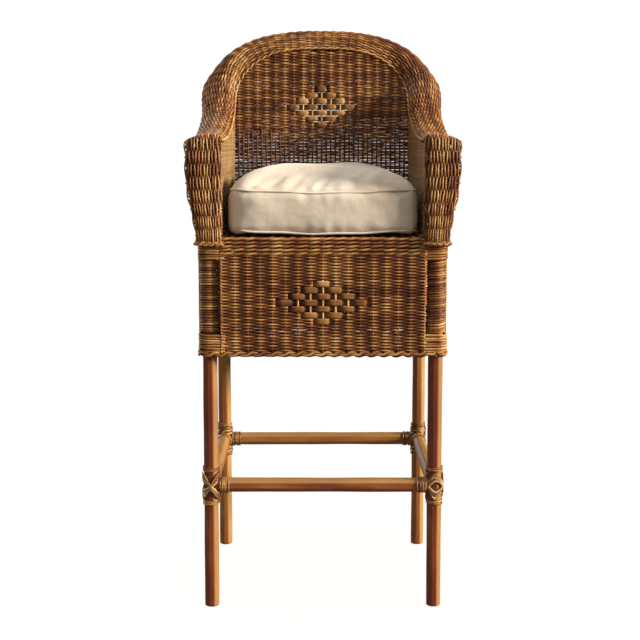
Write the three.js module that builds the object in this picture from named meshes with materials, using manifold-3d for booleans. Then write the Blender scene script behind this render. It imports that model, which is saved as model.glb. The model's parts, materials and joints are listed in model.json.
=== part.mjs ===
// A wicker bar stool with arms, a footrest and a loose box cushion.
// Four straight rattan poles are the legs; stretchers, seat rails and skirt rails are coped to them,
// screwed, and bound with cane. Woven reed panels close the skirt, the arms and the back, and a wide
// rolled rim runs from one arm front over the back to the other, round a bent pole.
// Millimetres, +Z up, the front faces -Y. The origin is on the floor under the middle of the box.
import * as THREE from "three";
import { mergeVertices } from "three/addons/utils/BufferGeometryUtils.js";
import Module from "manifold-3d";

const wasm = await Module();
wasm.setup();

// ---- Driving dimensions ----
const seatHeight = 762; // top of the woven seat border, a 30 inch bar stool
const legPitchX = 455; // leg centre to leg centre, side to side
const legPitchY = 436; // leg centre to leg centre, front to back
const legRadius = 15.5;
const stretcherRadius = 15;
const stretcherHeight = 254; // centre of the footrest ring
const seatRailRadius = 12;
const skirtRailRadius = 10;
const slatRadius = 9;
const hoopRadius = 9;
const skirtHeight = 243; // from the seat border's top to the skirt's lower edge
const topBandHeight = 42;
const lowerBandHeight = 29;
const weaveThickness = 7;
const wrapThickness = 3.5; // reed wound round a leg
const bindingThickness = 3.2; // cane over a joint
const bindingReachLeg = 34; // how far a binding runs along the leg, up and down
const bindingReachStretcher = 30; // how far it runs along a stretcher past the leg
const deckThickness = 7;
const armHeight = 190; // top of the arm's inner panel at the front, above the seat border
const armThickness = 72; // across the arm, inner face to outer face, at its top
const armLegGap = 6; // between a leg and the arm's inner panel
const armFootGap = 1; // between a leg and the arm's outer panel at the seat border
const armOuterDrop = 15; // the rim's outer edge is this much below its inner edge on the arms
const armRise = 72; // how much the rim climbs along the arm, from its front to the back corner
const armRisePower = 2.4;
const backHeight = 400; // top of the back panel above the seat border
const backSpring = 268; // where the back's arch starts above the seat border
const archPower = 2.9; // squareness of the back's arch
const outerArchPower = 2.3; // and of the rim's rear edge, which is rounder
const outerArchReach = 84; // from the arm's inner face out to the rear edge at the arch's spring
const backLean = 0.07; // the back panel's slope, as travel to the rear per unit of height
const rimDepth = 72; // front to back over the rolled rim at the top of the back
const rimRearDrop = 37; // the rim's rear edge is this much below its front edge at the top
const armDome = 18; // how far the rim's crest stands over its two edges on the arms
const backDome = 50; // and round the back
const crownDome = 16; // more again at the top of the back
const rimFullness = 0.62; // below 1, the rim's section has steep sides and a flat crest
const braidRadius = 3.5;
const cushionSideGap = 13; // from the cushion to the arm's inner panel
const cushionFrontInset = 15; // from the arms' front edge back to the cushion
const cushionBackGap = 32.1; // from the cushion to the back panel at the seat border
const cushionHeight = 86; // between the two pipings
const cushionCrown = 48; // the filled top over the upper piping
const cushionBottomCrown = 4; // the cover's rounding below the lower piping
const cushionCorner = 34;
const pipingRadius = 2.6;
const screwRadius = 2.2;
const screwHeadRadius = 4;
const screwHeadLength = 3;
const screwLength = 46;
const screwStagger = 7; // the two screws at one leg pass each other by this much up and down
const skirtDiamond = { halfWidth: 100, halfHeight: 45, below: 132 };
const backDiamond = { halfWidth: 94, halfHeight: 46, above: 266 };
const clearance = 0.3; // between separate pieces that touch

// ---- Sizes and places that follow from them ----
const poleSides = 16;
const legX = legPitchX / 2;
const legY = legPitchY / 2;
const bandOffset = legRadius + clearance + weaveThickness; // leg centre to the band's outer face
const skirtBottom = seatHeight - skirtHeight;
const topBandBottom = seatHeight - topBandHeight;
const lowerBandTop = skirtBottom + lowerBandHeight;
const columnRadius = legRadius + wrapThickness;
const panelGap = 8; // the dark slot between a wrapped leg and the skirt panel beside it
const frontPanelHalf = legX - columnRadius - panelGap;
const sidePanelHalf = legY - columnRadius - panelGap;
const deckBottom = seatHeight - deckThickness;
const deckTop = seatHeight;
const seatRailHeight = deckBottom - clearance - seatRailRadius;
const skirtRailHeight = skirtBottom + lowerBandHeight / 2;
const slatHeight = deckBottom - clearance - slatRadius;
const panelBottom = seatHeight + clearance;
const armInnerX = legX - legRadius - armLegGap - weaveThickness; // inner face of the arm
const footX = legX + legRadius + armFootGap + weaveThickness; // the arm's outer face at its foot
const armFrontY = -(legY + bandOffset + 2); // front edge of the arm's panels
const shieldThickness = 9;
const backY = legY + legRadius + 0.8; // front face of the back panel at the seat
const backHalf = armInnerX + weaveThickness + armLegGap; // half the back panel's width
const archHalf = armInnerX + 4; // half the arch's span at its spring
const archRise = backHeight - backSpring;
const armTopZ = seatHeight + armHeight;
const seam = braidRadius + 1.3; // a panel or the rim stops this far from the edge line
const rimStations = 40;

// ---- Materials ----
const finish = (color, roughness, metalness = 0) =>
  new THREE.MeshStandardMaterial({ color, roughness, metalness });
const pole = finish(0xa35a2a, 0.4);
const reed = finish(0x9a6a36, 0.55);
const cane = finish(0xb98546, 0.45);
const cloth = finish(0xe2d6c0, 0.95);
const steel = finish(0x8d8d8d, 0.35, 1);

const stool = new THREE.Group();
stool.name = "stool";

const place = (name, geometry, material) => {
  const mesh = new THREE.Mesh(geometry, material);
  mesh.name = name;
  stool.add(mesh);
  return mesh;
};

// ---- Solids ----
const solid = (geometry) => {
  const bare = (geometry.index ? geometry.toNonIndexed() : geometry.clone());
  bare.deleteAttribute("normal");
  bare.deleteAttribute("uv");
  const merged = mergeVertices(bare, 1e-3);
  return new wasm.Manifold(
    new wasm.Mesh({
      numProp: 3,
      vertProperties: merged.attributes.position.array,
      triVerts: new Uint32Array(merged.index.array),
    }),
  );
};

const geometryOf = (manifold) => {
  const mesh = manifold.getMesh();
  const positions = new Float32Array(mesh.numVert * 3);
  for (let i = 0; i < mesh.numVert; i++) {
    positions.set(mesh.vertProperties.subarray(i * mesh.numProp, i * mesh.numProp + 3), i * 3);
  }
  const geometry = new THREE.BufferGeometry();
  geometry.setAttribute("position", new THREE.BufferAttribute(positions, 3));
  geometry.setIndex(new THREE.BufferAttribute(mesh.triVerts, 1));
  return geometry;
};

// A round bar between two points.
const bar = (from, to, radius, sides = poleSides) => {
  const along = new THREE.Vector3().subVectors(to, from);
  const geometry = new THREE.CylinderGeometry(radius, radius, along.length(), sides);
  const turn = new THREE.Quaternion().setFromUnitVectors(
    new THREE.Vector3(0, 1, 0),
    along.clone().normalize(),
  );
  geometry.applyQuaternion(turn);
  const middle = new THREE.Vector3().addVectors(from, to).multiplyScalar(0.5);
  return geometry.translate(middle.x, middle.y, middle.z);
};

const point = (x, y, z) => new THREE.Vector3(x, y, z);

// A round section swept along a curve.
const tube = (curve, radius, sides, steps) => {
  const section = new THREE.Shape();
  section.absarc(0, 0, radius, 0, 2 * Math.PI, false);
  return new THREE.ExtrudeGeometry(section, {
    steps,
    curveSegments: sides,
    bevelEnabled: false,
    extrudePath: curve,
  });
};

const signedVolume = (geometry) => {
  const p = geometry.attributes.position;
  const index = geometry.index;
  const [a, b, c] = [point(0, 0, 0), point(0, 0, 0), point(0, 0, 0)];
  let volume = 0;
  for (let i = 0; i < index.count; i += 3) {
    a.fromBufferAttribute(p, index.getX(i));
    b.fromBufferAttribute(p, index.getX(i + 1));
    c.fromBufferAttribute(p, index.getX(i + 2));
    volume += a.dot(b.cross(c)) / 6;
  }
  return volume;
};

// A box with its corners moved: where(u, v, w) places the point that is u, v from 0 to 1 across the
// sheet and w from 0 to 1 through it.
const sheet = (columns, rows, where, layers = 1) => {
  const geometry = new THREE.BoxGeometry(1, 1, 1, columns, rows, layers);
  const p = geometry.attributes.position;
  for (let i = 0; i < p.count; i++) {
    const to = where(p.getX(i) + 0.5, p.getY(i) + 0.5, p.getZ(i) + 0.5);
    p.setXYZ(i, to.x, to.y, to.z);
  }
  if (signedVolume(geometry) < 0) {
    const index = geometry.index;
    for (let i = 0; i < index.count; i += 3) {
      const second = index.getX(i + 1);
      index.setX(i + 1, index.getX(i + 2));
      index.setX(i + 2, second);
    }
  }
  return geometry;
};

const mirrorX = (where) => (u, v, w) => {
  const to = where(u, v, w);
  return point(-to.x, to.y, to.z);
};

// ---- Legs, stretchers and rails ----
const corners = [
  { name: "front_left", x: -1, y: -1 },
  { name: "front_right", x: 1, y: -1 },
  { name: "back_left", x: -1, y: 1 },
  { name: "back_right", x: 1, y: 1 },
];
const hoopUnderside = armTopZ - armOuterDrop / 2 + armDome - weaveThickness - 2 * hoopRadius - 1;
const legTop = (corner) =>
  corner.y < 0 ? hoopUnderside - 2 : seatHeight + backSpring - 26;
const legBar = (corner, radius) =>
  bar(point(corner.x * legX, corner.y * legY, 0),
    point(corner.x * legX, corner.y * legY, legTop(corner)), radius);
const legCutters = corners.map((corner) => solid(legBar(corner, legRadius + clearance)));

// The four bars of one ring round the legs: front and back run along X, left and right along Y.
const ringBars = (height, radius) => ({
  front: bar(point(-legX, -legY, height), point(legX, -legY, height), radius),
  back: bar(point(-legX, legY, height), point(legX, legY, height), radius),
  left: bar(point(-legX, -legY, height), point(-legX, legY, height), radius),
  right: bar(point(legX, -legY, height), point(legX, legY, height), radius),
});

// The same bars with their ends coped to the legs, and the side ones coped to the cross ones too.
const copedRing = (height, radius) => {
  const bars = ringBars(height, radius);
  const around = ringBars(height, radius + clearance);
  const cope = (side) => legCutters.reduce((left, leg) => left.subtract(leg), solid(bars[side]));
  const notch = (side) => cope(side).subtract(solid(around.front)).subtract(solid(around.back));
  return { front: cope("front"), back: cope("back"), left: notch("left"), right: notch("right") };
};

// A countersunk screw, its head at the origin and its point towards +Y, grown by `extra`.
const screwProfile = (extra) => [
  new THREE.Vector2(0, -extra),
  new THREE.Vector2(screwHeadRadius + extra, -extra),
  new THREE.Vector2(screwHeadRadius + extra, screwHeadLength * 0.4),
  new THREE.Vector2(screwRadius + extra, screwHeadLength + extra),
  new THREE.Vector2(screwRadius + extra, screwLength - 4),
  new THREE.Vector2(0, screwLength + extra),
];

// The screw that runs through a leg along one axis, into the end of the stretcher on that axis.
const screw = (corner, along, extra) => {
  const geometry = new THREE.LatheGeometry(screwProfile(extra), 8);
  const inward = along === "x" ? point(-corner.x, 0, 0) : point(0, -corner.y, 0);
  geometry.applyQuaternion(
    new THREE.Quaternion().setFromUnitVectors(new THREE.Vector3(0, 1, 0), inward),
  );
  const head = inward.clone().multiplyScalar(-(legRadius - 1.5));
  const lift = along === "x" ? screwStagger : -screwStagger;
  return geometry.translate(
    corner.x * legX + head.x, corner.y * legY + head.y, stretcherHeight + lift);
};

const outward = (geometry) => {
  if (signedVolume(mergeVertices(geometry, 1e-3)) < 0) {
    return geometry.index ? flipped(geometry) : geometry;
  }
  return geometry;
};
const flipped = (geometry) => {
  const index = geometry.index;
  for (let i = 0; i < index.count; i += 3) {
    const second = index.getX(i + 1);
    index.setX(i + 1, index.getX(i + 2));
    index.setX(i + 2, second);
  }
  return geometry;
};

const screwSolid = (corner, along, extra) => {
  const made = outward(screw(corner, along, extra));
  return solid(made);
};

const stretchers = copedRing(stretcherHeight, stretcherRadius);
const seatRails = copedRing(seatRailHeight, seatRailRadius);
const skirtRails = copedRing(skirtRailHeight, skirtRailRadius);

for (const corner of corners) {
  const holes = ["x", "y"].map((along) => screwSolid(corner, along, clearance));
  const leg = holes.reduce((left, hole) => left.subtract(hole), solid(legBar(corner, legRadius)));
  place(`${corner.name}_leg`, geometryOf(leg), pole);
  const crossSide = corner.y < 0 ? "front" : "back";
  const longSide = corner.x < 0 ? "left" : "right";
  stretchers[crossSide] = stretchers[crossSide].subtract(holes[0]);
  stretchers[longSide] = stretchers[longSide].subtract(holes[1]);
  place(`${corner.name}_cross_screw`, geometryOf(screwSolid(corner, "x", 0)), steel);
  place(`${corner.name}_side_screw`, geometryOf(screwSolid(corner, "y", 0)), steel);
}
const stretcherNames = {
  front: "front_footrest_stretcher",
  back: "back_stretcher",
  left: "left_stretcher",
  right: "right_stretcher",
};
for (const [side, made] of Object.entries(stretchers)) {
  place(stretcherNames[side], geometryOf(made), pole);
}
for (const [side, made] of Object.entries(seatRails)) {
  place(`${side}_seat_rail`, geometryOf(made), pole);
}
for (const [side, made] of Object.entries(skirtRails)) {
  place(`${side}_skirt_rail`, geometryOf(made), pole);
}

// ---- Cane bindings over the stretcher joints ----
const stretcherCutters = Object.values(ringBars(stretcherHeight, stretcherRadius + clearance))
  .map(solid);
for (const corner of corners) {
  const [x, y] = [corner.x * legX, corner.y * legY];
  const reach = legRadius + bindingReachStretcher;
  const armRadius = stretcherRadius + bindingThickness;
  const wraps = [
    bar(point(x, y, stretcherHeight - bindingReachLeg),
      point(x, y, stretcherHeight + bindingReachLeg), legRadius + bindingThickness, 12),
    bar(point(x, y, stretcherHeight),
      point(x - corner.x * reach, y, stretcherHeight), armRadius, 12),
    bar(point(x, y, stretcherHeight),
      point(x, y - corner.y * reach, stretcherHeight), armRadius, 12),
  ].map(solid);
  const joined = wraps[0].add(wraps[1]).add(wraps[2]);
  const hollowed = [...legCutters, ...stretcherCutters].reduce(
    (left, cutter) => left.subtract(cutter), joined);
  place(`${corner.name}_joint_binding`, geometryOf(hollowed), cane);
}

// ---- Woven skirt ----
const roundedRectangle = (shape, halfX, halfY, radius) => {
  const clockwise = false;
  shape.moveTo(halfX, -halfY + radius);
  shape.lineTo(halfX, halfY - radius);
  shape.absarc(halfX - radius, halfY - radius, radius, 0, Math.PI / 2, clockwise);
  shape.lineTo(-halfX + radius, halfY);
  shape.absarc(-halfX + radius, halfY - radius, radius, Math.PI / 2, Math.PI, clockwise);
  shape.lineTo(-halfX, -halfY + radius);
  shape.absarc(-halfX + radius, -halfY + radius, radius, Math.PI, 1.5 * Math.PI, clockwise);
  shape.lineTo(halfX - radius, -halfY);
  shape.absarc(halfX - radius, -halfY + radius, radius, 1.5 * Math.PI, 2 * Math.PI, clockwise);
  return shape;
};

// A ring of even thickness round the four legs, from one height to another.
const band = (bottom, top) => {
  const outer = bandOffset;
  const inner = legRadius + clearance;
  const shape = roundedRectangle(new THREE.Shape(), legX + outer, legY + outer, outer);
  shape.holes.push(roundedRectangle(new THREE.Path(), legX + inner, legY + inner, inner));
  return new THREE.ExtrudeGeometry(shape, {
    depth: top - bottom,
    curveSegments: 5,
    bevelEnabled: false,
  }).translate(0, 0, bottom);
};
place("seat_border", band(topBandBottom, seatHeight), reed);
place("skirt_border", band(skirtBottom, lowerBandTop), reed);

for (const corner of corners) {
  const [low, high] = [lowerBandTop + clearance, topBandBottom - clearance];
  const ring = [
    [legRadius + clearance, low], [columnRadius, low], [columnRadius, high],
    [legRadius + clearance, high], [legRadius + clearance, low],
  ].map(([radius, height]) => new THREE.Vector2(radius, height));
  const geometry = new THREE.LatheGeometry(ring, poleSides);
  geometry.rotateX(Math.PI / 2);
  geometry.translate(corner.x * legX, corner.y * legY, 0);
  place(`${corner.name}_leg_wrap`, outward(geometry), reed);
}

const panelHeight = topBandBottom - lowerBandTop - 2 * clearance;
const panelMiddle = (topBandBottom + lowerBandTop) / 2;
const panelOut = bandOffset - weaveThickness / 2; // leg centre to the panel's middle plane

// A lozenge that runs through everything along Y, to cut a window or an inlay.
const lozenge = (diamond, height, extra) => {
  const shape = new THREE.Shape();
  const [w, h] = [diamond.halfWidth + 2 * extra, diamond.halfHeight + extra];
  shape.moveTo(w, 0);
  shape.lineTo(0, h);
  shape.lineTo(-w, 0);
  shape.lineTo(0, -h);
  const depth = 2 * (legY + 200);
  const geometry = new THREE.ExtrudeGeometry(shape, { depth, bevelEnabled: false });
  return solid(geometry.rotateX(Math.PI / 2).translate(0, depth / 2, height));
};

const crossPanel = (sign) =>
  new THREE.BoxGeometry(2 * frontPanelHalf, weaveThickness, panelHeight)
    .translate(0, sign * (legY + panelOut), panelMiddle);
const sidePanel = (sign) =>
  new THREE.BoxGeometry(weaveThickness, 2 * sidePanelHalf, panelHeight)
    .translate(sign * (legX + panelOut), 0, panelMiddle);
const skirtDiamondHeight = seatHeight - skirtDiamond.below;
const frontSkirt = solid(crossPanel(-1));
place("front_skirt_panel",
  geometryOf(frontSkirt.subtract(lozenge(skirtDiamond, skirtDiamondHeight, clearance))), reed);
place("skirt_diamond", geometryOf(frontSkirt.intersect(lozenge(skirtDiamond, skirtDiamondHeight, 0))),
  cane);
place("back_skirt_panel", crossPanel(1), reed);
place("left_skirt_panel", sidePanel(-1), reed);
place("right_skirt_panel", sidePanel(1), reed);

// ---- Seat deck and its slats ----
const deckShape = () => {
  const [x, y] = [legX - 1, legY - 1];
  const [nx, ny] = [legX - legRadius - 1, legY - legRadius - 1];
  const outline = [
    [nx, -y], [nx, -ny], [x, -ny], [x, ny], [nx, ny], [nx, y],
    [-nx, y], [-nx, ny], [-x, ny], [-x, -ny], [-nx, -ny], [-nx, -y],
  ];
  return new THREE.Shape(outline.map(([px, py]) => new THREE.Vector2(px, py)));
};
place("seat_deck", new THREE.ExtrudeGeometry(deckShape(), {
  depth: deckThickness,
  bevelEnabled: false,
}).translate(0, 0, deckBottom), reed);

const railCutters = ["front", "back"].map(
  (side) => solid(ringBars(seatRailHeight, seatRailRadius + clearance)[side]));
const slatPlaces = { left: -0.25, middle: 0, right: 0.25 };
for (const [name, share] of Object.entries(slatPlaces)) {
  const x = share * legPitchX;
  const whole = solid(bar(point(x, -legY, slatHeight), point(x, legY, slatHeight), slatRadius));
  place(`${name}_seat_slat`, geometryOf(
    railCutters.reduce((left, cutter) => left.subtract(cutter), whole)), pole);
}

// ---- The rim's two edge lines, right half, from the arm's front to the middle of the back ----
const backPlane = (z) => backY + backLean * (z - seatHeight);
const armCornerY = backPlane(seatHeight + backSpring) - 30;
const armEdgeZ = (y) =>
  armTopZ + armRise * Math.pow(Math.max(0, (y - armFrontY) / (armCornerY - armFrontY)), armRisePower);
const archPoint = (half, spring, rise, degrees, power = archPower) => {
  const angle = THREE.MathUtils.degToRad(degrees);
  return [half * Math.pow(Math.cos(angle), 2 / power), spring + rise * Math.sin(angle)];
};
const armShares = [0, 0.25, 0.5, 0.74, 0.93];
const archDegrees = [22, 42, 62, 78];
const outerHalf = armInnerX + outerArchReach;
const rimBackY = backPlane(seatHeight + backHeight) + rimDepth;

const innerHalfLine = () => [
  ...armShares.map((share) => {
    const y = armFrontY + share * (armCornerY - armFrontY);
    return point(armInnerX, y, armEdgeZ(y));
  }),
  ...archDegrees.map((degrees) => {
    const [x, z] = archPoint(archHalf, seatHeight + backSpring, archRise, degrees);
    return point(x, backPlane(z), z);
  }),
];
const outerHalfLine = () => [
  ...armShares.map((share) => {
    const y = armFrontY + share * (armCornerY - armFrontY);
    return point(armInnerX + armThickness, y, armEdgeZ(y) - armOuterDrop);
  }),
  ...archDegrees.map((degrees) => {
    const [x, z] = archPoint(
      outerHalf, seatHeight + backSpring - armOuterDrop, archRise + armOuterDrop - rimRearDrop,
      degrees, outerArchPower);
    const inset = Math.pow(Math.cos(THREE.MathUtils.degToRad(degrees)), 2);
    return point(x, rimBackY - 52 * inset, z);
  }),
];
const wholeLine = (half, middle) => {
  const mirrored = half.map((p) => point(-p.x, p.y, p.z));
  return new THREE.CatmullRomCurve3([...mirrored, middle, ...half.reverse()], false, "centripetal");
};
const innerLine = wholeLine(innerHalfLine(),
  point(0, backPlane(seatHeight + backHeight), seatHeight + backHeight));
const outerLine = wholeLine(outerHalfLine(),
  point(0, rimBackY, seatHeight + backHeight - rimRearDrop));

// How far along the climb a place on the rim is: 0 on the arms, 1 at the top of the back.
const climb = (z) =>
  THREE.MathUtils.smoothstep(z, armTopZ, seatHeight + backHeight - 25);

// A place on the rim's skin: t runs from the left arm's front to the right one's, v from the inner
// edge over the crest to the outer edge, and depth goes in from the surface.
const rimPoint = (t, v, depth = 0) => {
  const inner = innerLine.getPoint(t);
  const outer = outerLine.getPoint(t);
  const across = new THREE.Vector3().subVectors(outer, inner);
  const ahead = innerLine.getPoint(Math.min(1, t + 0.004))
    .add(outerLine.getPoint(Math.min(1, t + 0.004)));
  const behind = innerLine.getPoint(Math.max(0, t - 0.004))
    .add(outerLine.getPoint(Math.max(0, t - 0.004)));
  const up = new THREE.Vector3().crossVectors(across, ahead.sub(behind)).normalize();
  if (up.z < 0 && Math.abs(up.z) > 0.5) up.negate();
  const topZ = seatHeight + backHeight;
  const dome = THREE.MathUtils.lerp(armDome, backDome, climb(inner.z)) +
    crownDome * THREE.MathUtils.smoothstep(inner.z, topZ - 62, topZ);
  const width = across.length() - 2 * depth;
  const start = inner.clone().addScaledVector(across.clone().normalize(), depth);
  const lift = Math.asin(Math.pow(seam / dome, 1 / rimFullness));
  const turn = lift + v * (Math.PI - 2 * lift);
  const rise = Math.pow(Math.sin(turn), rimFullness) * (dome - depth);
  return start.addScaledVector(across.normalize(), width * (1 - Math.cos(turn)) / 2)
    .addScaledVector(up, rise);
};

const rim = sheet(rimStations, 8, (u, v, w) => rimPoint(u, v, (1 - w) * weaveThickness));
place("rolled_rim", rim, reed);

class SampledCurve extends THREE.Curve {
  constructor(where) {
    super();
    this.where = where;
  }
  getPoint(t) {
    return this.where(t);
  }
}
const hoopLine = new SampledCurve((t) => {
  const kept = 0.004 + t * 0.992;
  const crest = rimPoint(kept, 0.5, weaveThickness + 3);
  const middle = innerLine.getPoint(kept).add(outerLine.getPoint(kept)).multiplyScalar(0.5);
  const inward = middle.sub(crest);
  return crest.addScaledVector(
    inward.lengthSq() > 1 ? inward.normalize() : point(0, 0, -1), hoopRadius);
});
place("rim_hoop", tube(hoopLine, hoopRadius, 5, rimStations), pole);
place("inner_rim_braid", tube(innerLine, braidRadius, 3, rimStations), reed);
place("outer_rim_braid", tube(outerLine, braidRadius, 3, rimStations), reed);

// ---- Back panel and its diamond ----
const backOutline = () => {
  const inset = seam + 2;
  const half = [[backHalf, panelBottom], [backHalf, seatHeight + backSpring - 15],
    [archHalf - 3 * inset, seatHeight + backSpring + 15]];
  for (const degrees of [20, 28, 36, 45, 54, 63, 72, 81]) {
    half.push(archPoint(
      archHalf - inset, seatHeight + backSpring, archRise - inset, degrees));
  }
  const other = half.map(([x, z]) => [-x, z]).reverse();
  const top = [0, seatHeight + backHeight - inset];
  return new THREE.Shape([...half, top, ...other].map(([x, z]) => new THREE.Vector2(x, z)));
};
const backSheet = new THREE.ExtrudeGeometry(backOutline(), {
  depth: weaveThickness,
  bevelEnabled: false,
});
backSheet.rotateX(Math.PI / 2);
backSheet.translate(0, weaveThickness, 0);
const leanOver = new THREE.Matrix4().makeShear(0, 0, 0, 0, 0, backLean);
leanOver.setPosition(0, backY - backLean * seatHeight, 0);
const back = solid(backSheet.applyMatrix4(leanOver));
const backDiamondHeight = seatHeight + backDiamond.above;
place("back_panel", geometryOf(back.subtract(lozenge(backDiamond, backDiamondHeight, clearance))),
  reed);
place("back_diamond", geometryOf(back.intersect(lozenge(backDiamond, backDiamondHeight, 0))), cane);

// ---- Arms: an inner panel, a flared outer panel that turns round the back leg, and a front ----
const armRearY = (z) => backPlane(z) - 1;
const armPanelTop = (y) => armEdgeZ(y) - seam - 2;
const innerArm = (u, v, w) => {
  const rearTop = armPanelTop(armRearY(armTopZ + armRise));
  const rearY = (share) => armRearY(panelBottom + share * (rearTop - panelBottom));
  const reach = (share) => armFrontY + u * (rearY(share) - armFrontY);
  const z = panelBottom + v * (armPanelTop(reach(1)) - panelBottom);
  return point(armInnerX + w * weaveThickness, reach(v), z);
};
place("right_inner_arm_panel", sheet(10, 2, innerArm), reed);
place("left_inner_arm_panel", sheet(10, 2, mirrorX(innerArm)), reed);

// Where the outer panel stands on the seat border, u from the arm's front to the back panel's edge.
const footCorner = footX - legX;
const footStraight = legY - armFrontY;
const footTurn = footCorner * Math.PI / 2;
const footReturn = legX - backHalf - 2;
const outerFoot = (u, inset) => {
  const along = u * (footStraight + footTurn + footReturn);
  const radius = footCorner - inset;
  if (along < footStraight) return point(footX - inset, armFrontY + along, panelBottom);
  if (along < footStraight + footTurn) {
    const angle = (along - footStraight) / footCorner;
    return point(legX + radius * Math.cos(angle), legY + radius * Math.sin(angle), panelBottom);
  }
  return point(legX - (along - footStraight - footTurn), legY + radius, panelBottom);
};
const outerPanelEnd = 0.333; // share of the rim line from an arm's front to the back panel's edge
const flare = (v) => THREE.MathUtils.smoothstep(v, -0.12, 0.78);
const cornerStart = footStraight / (footStraight + footTurn + footReturn);
// Half of the panel's columns stand along the arm, the other half round the back leg.
const columnShare = (u) => (u < 0.5 ? 2 * u * cornerStart
  : cornerStart + (2 * u - 1) * (1 - cornerStart));
const outerArm = (column, v, w) => {
  const u = columnShare(column);
  const inset = (1 - w) * weaveThickness;
  const t = 1 - u * outerPanelEnd;
  const foot = outerFoot(u, inset);
  const edge = outerLine.getPoint(t);
  const inner = innerLine.getPoint(t);
  const inward = new THREE.Vector3().subVectors(inner, edge).setZ(0).normalize();
  edge.addScaledVector(inward, inset);
  const share = (flare(v) - flare(0)) / (flare(1) - flare(0));
  return point(
    THREE.MathUtils.lerp(foot.x, edge.x, share),
    THREE.MathUtils.lerp(foot.y, edge.y, share),
    THREE.MathUtils.lerp(foot.z, edge.z - 2 * seam, v),
  );
};
place("right_outer_arm_panel", sheet(16, 4, outerArm), reed);
place("left_outer_arm_panel", sheet(16, 4, mirrorX(outerArm)), reed);

// The woven front of an arm: the arm's own section, from the seat border to the rim's crest.
const shieldDrop = 7; // how far it hangs over the front of the seat border
const shieldShape = (side) => {
  const outline = [new THREE.Vector2(armInnerX, seatHeight - shieldDrop)];
  const steps = 10;
  for (let i = 0; i <= steps; i++) {
    const p = rimPoint(1, i / steps);
    outline.push(new THREE.Vector2(p.x, p.z));
  }
  for (let i = 1; i <= 6; i++) {
    const p = outerArm(0, 1 - i / 6, 1);
    outline.push(new THREE.Vector2(p.x, p.z));
  }
  outline.push(new THREE.Vector2(footX - 2, seatHeight - shieldDrop));
  return new THREE.Shape(outline.map((p) => new THREE.Vector2(side * p.x, p.y)));
};
for (const [name, side] of [["left", -1], ["right", 1]]) {
  const geometry = new THREE.ExtrudeGeometry(shieldShape(side), {
    depth: shieldThickness,
    bevelEnabled: false,
  });
  geometry.rotateX(Math.PI / 2);
  geometry.translate(0, armFrontY - 4 * clearance, 0);
  place(`${name}_arm_front`, geometry, reed);
}

// ---- Loose cushion ----
const cushionWidth = 2 * (armInnerX - cushionSideGap);
const cushionDepth = backY - cushionBackGap - (armFrontY + cushionFrontInset);
const cushionMiddleY = armFrontY + cushionFrontInset + cushionDepth / 2;
const cushionBottom = deckTop + cushionBottomCrown + 2 * clearance;
// The square from -1 to 1 turned into the cushion's rounded outline.
const cushionPlan = (a, b, grow) => {
  const [halfX, halfY] = [cushionWidth / 2 + grow, cushionDepth / 2 + grow];
  const radius = cushionCorner + grow;
  const [x, y] = [a * halfX, b * halfY];
  const [cx, cy] = [halfX - radius, halfY - radius];
  const [dx, dy] = [Math.max(0, Math.abs(x) - cx), Math.max(0, Math.abs(y) - cy)];
  const square = Math.max(dx, dy);
  const pull = square > 0 ? square / Math.hypot(dx, dy) : 1;
  return [Math.sign(x) * (Math.min(Math.abs(x), cx) + dx * pull),
    Math.sign(y) * (Math.min(Math.abs(y), cy) + dy * pull)];
};
const cushionShape = sheet(10, 10, (u, v, w) => {
  const [a, b] = [2 * u - 1, 2 * v - 1];
  const [x, y] = cushionPlan(a, b, 0);
  const fill = (1 - Math.pow(Math.abs(a), 3)) * (1 - Math.pow(Math.abs(b), 3));
  const low = cushionBottom - cushionBottomCrown * Math.sqrt(fill);
  const high = cushionBottom + cushionHeight + cushionCrown * Math.sqrt(fill);
  return point(x, cushionMiddleY + y, w > 0.5 ? high : low);
});
place("cushion", cushionShape, cloth);

const pipingRing = (height) => {
  const [inner, outer] = [clearance, clearance + 2 * pipingRadius];
  const [x, y] = [cushionWidth / 2, cushionDepth / 2];
  const shape = roundedRectangle(new THREE.Shape(), x + outer, y + outer, cushionCorner + outer);
  shape.holes.push(
    roundedRectangle(new THREE.Path(), x + inner, y + inner, cushionCorner + inner));
  return new THREE.ExtrudeGeometry(shape, {
    depth: 2 * pipingRadius,
    curveSegments: 5,
    bevelEnabled: false,
  }).translate(0, cushionMiddleY, height - pipingRadius);
};
place("cushion_top_piping", pipingRing(cushionBottom + cushionHeight - pipingRadius), cloth);
place("cushion_bottom_piping", pipingRing(cushionBottom + pipingRadius), cloth);

// The origin goes under the middle of the whole stool.
const extent = new THREE.Box3().setFromObject(stool);
stool.position.y = -(extent.min.y + extent.max.y) / 2;
const part = new THREE.Group();
part.add(stool);

export default part;
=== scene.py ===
"""A woven rattan bar stool with arms, a footrest ring and a loose box cushion.

Lengths are in millimetres in the part's own model frame until Strands.build or to_row turns them
into metres in the row frame. The front faces -Y.
"""
import json
import math

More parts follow.
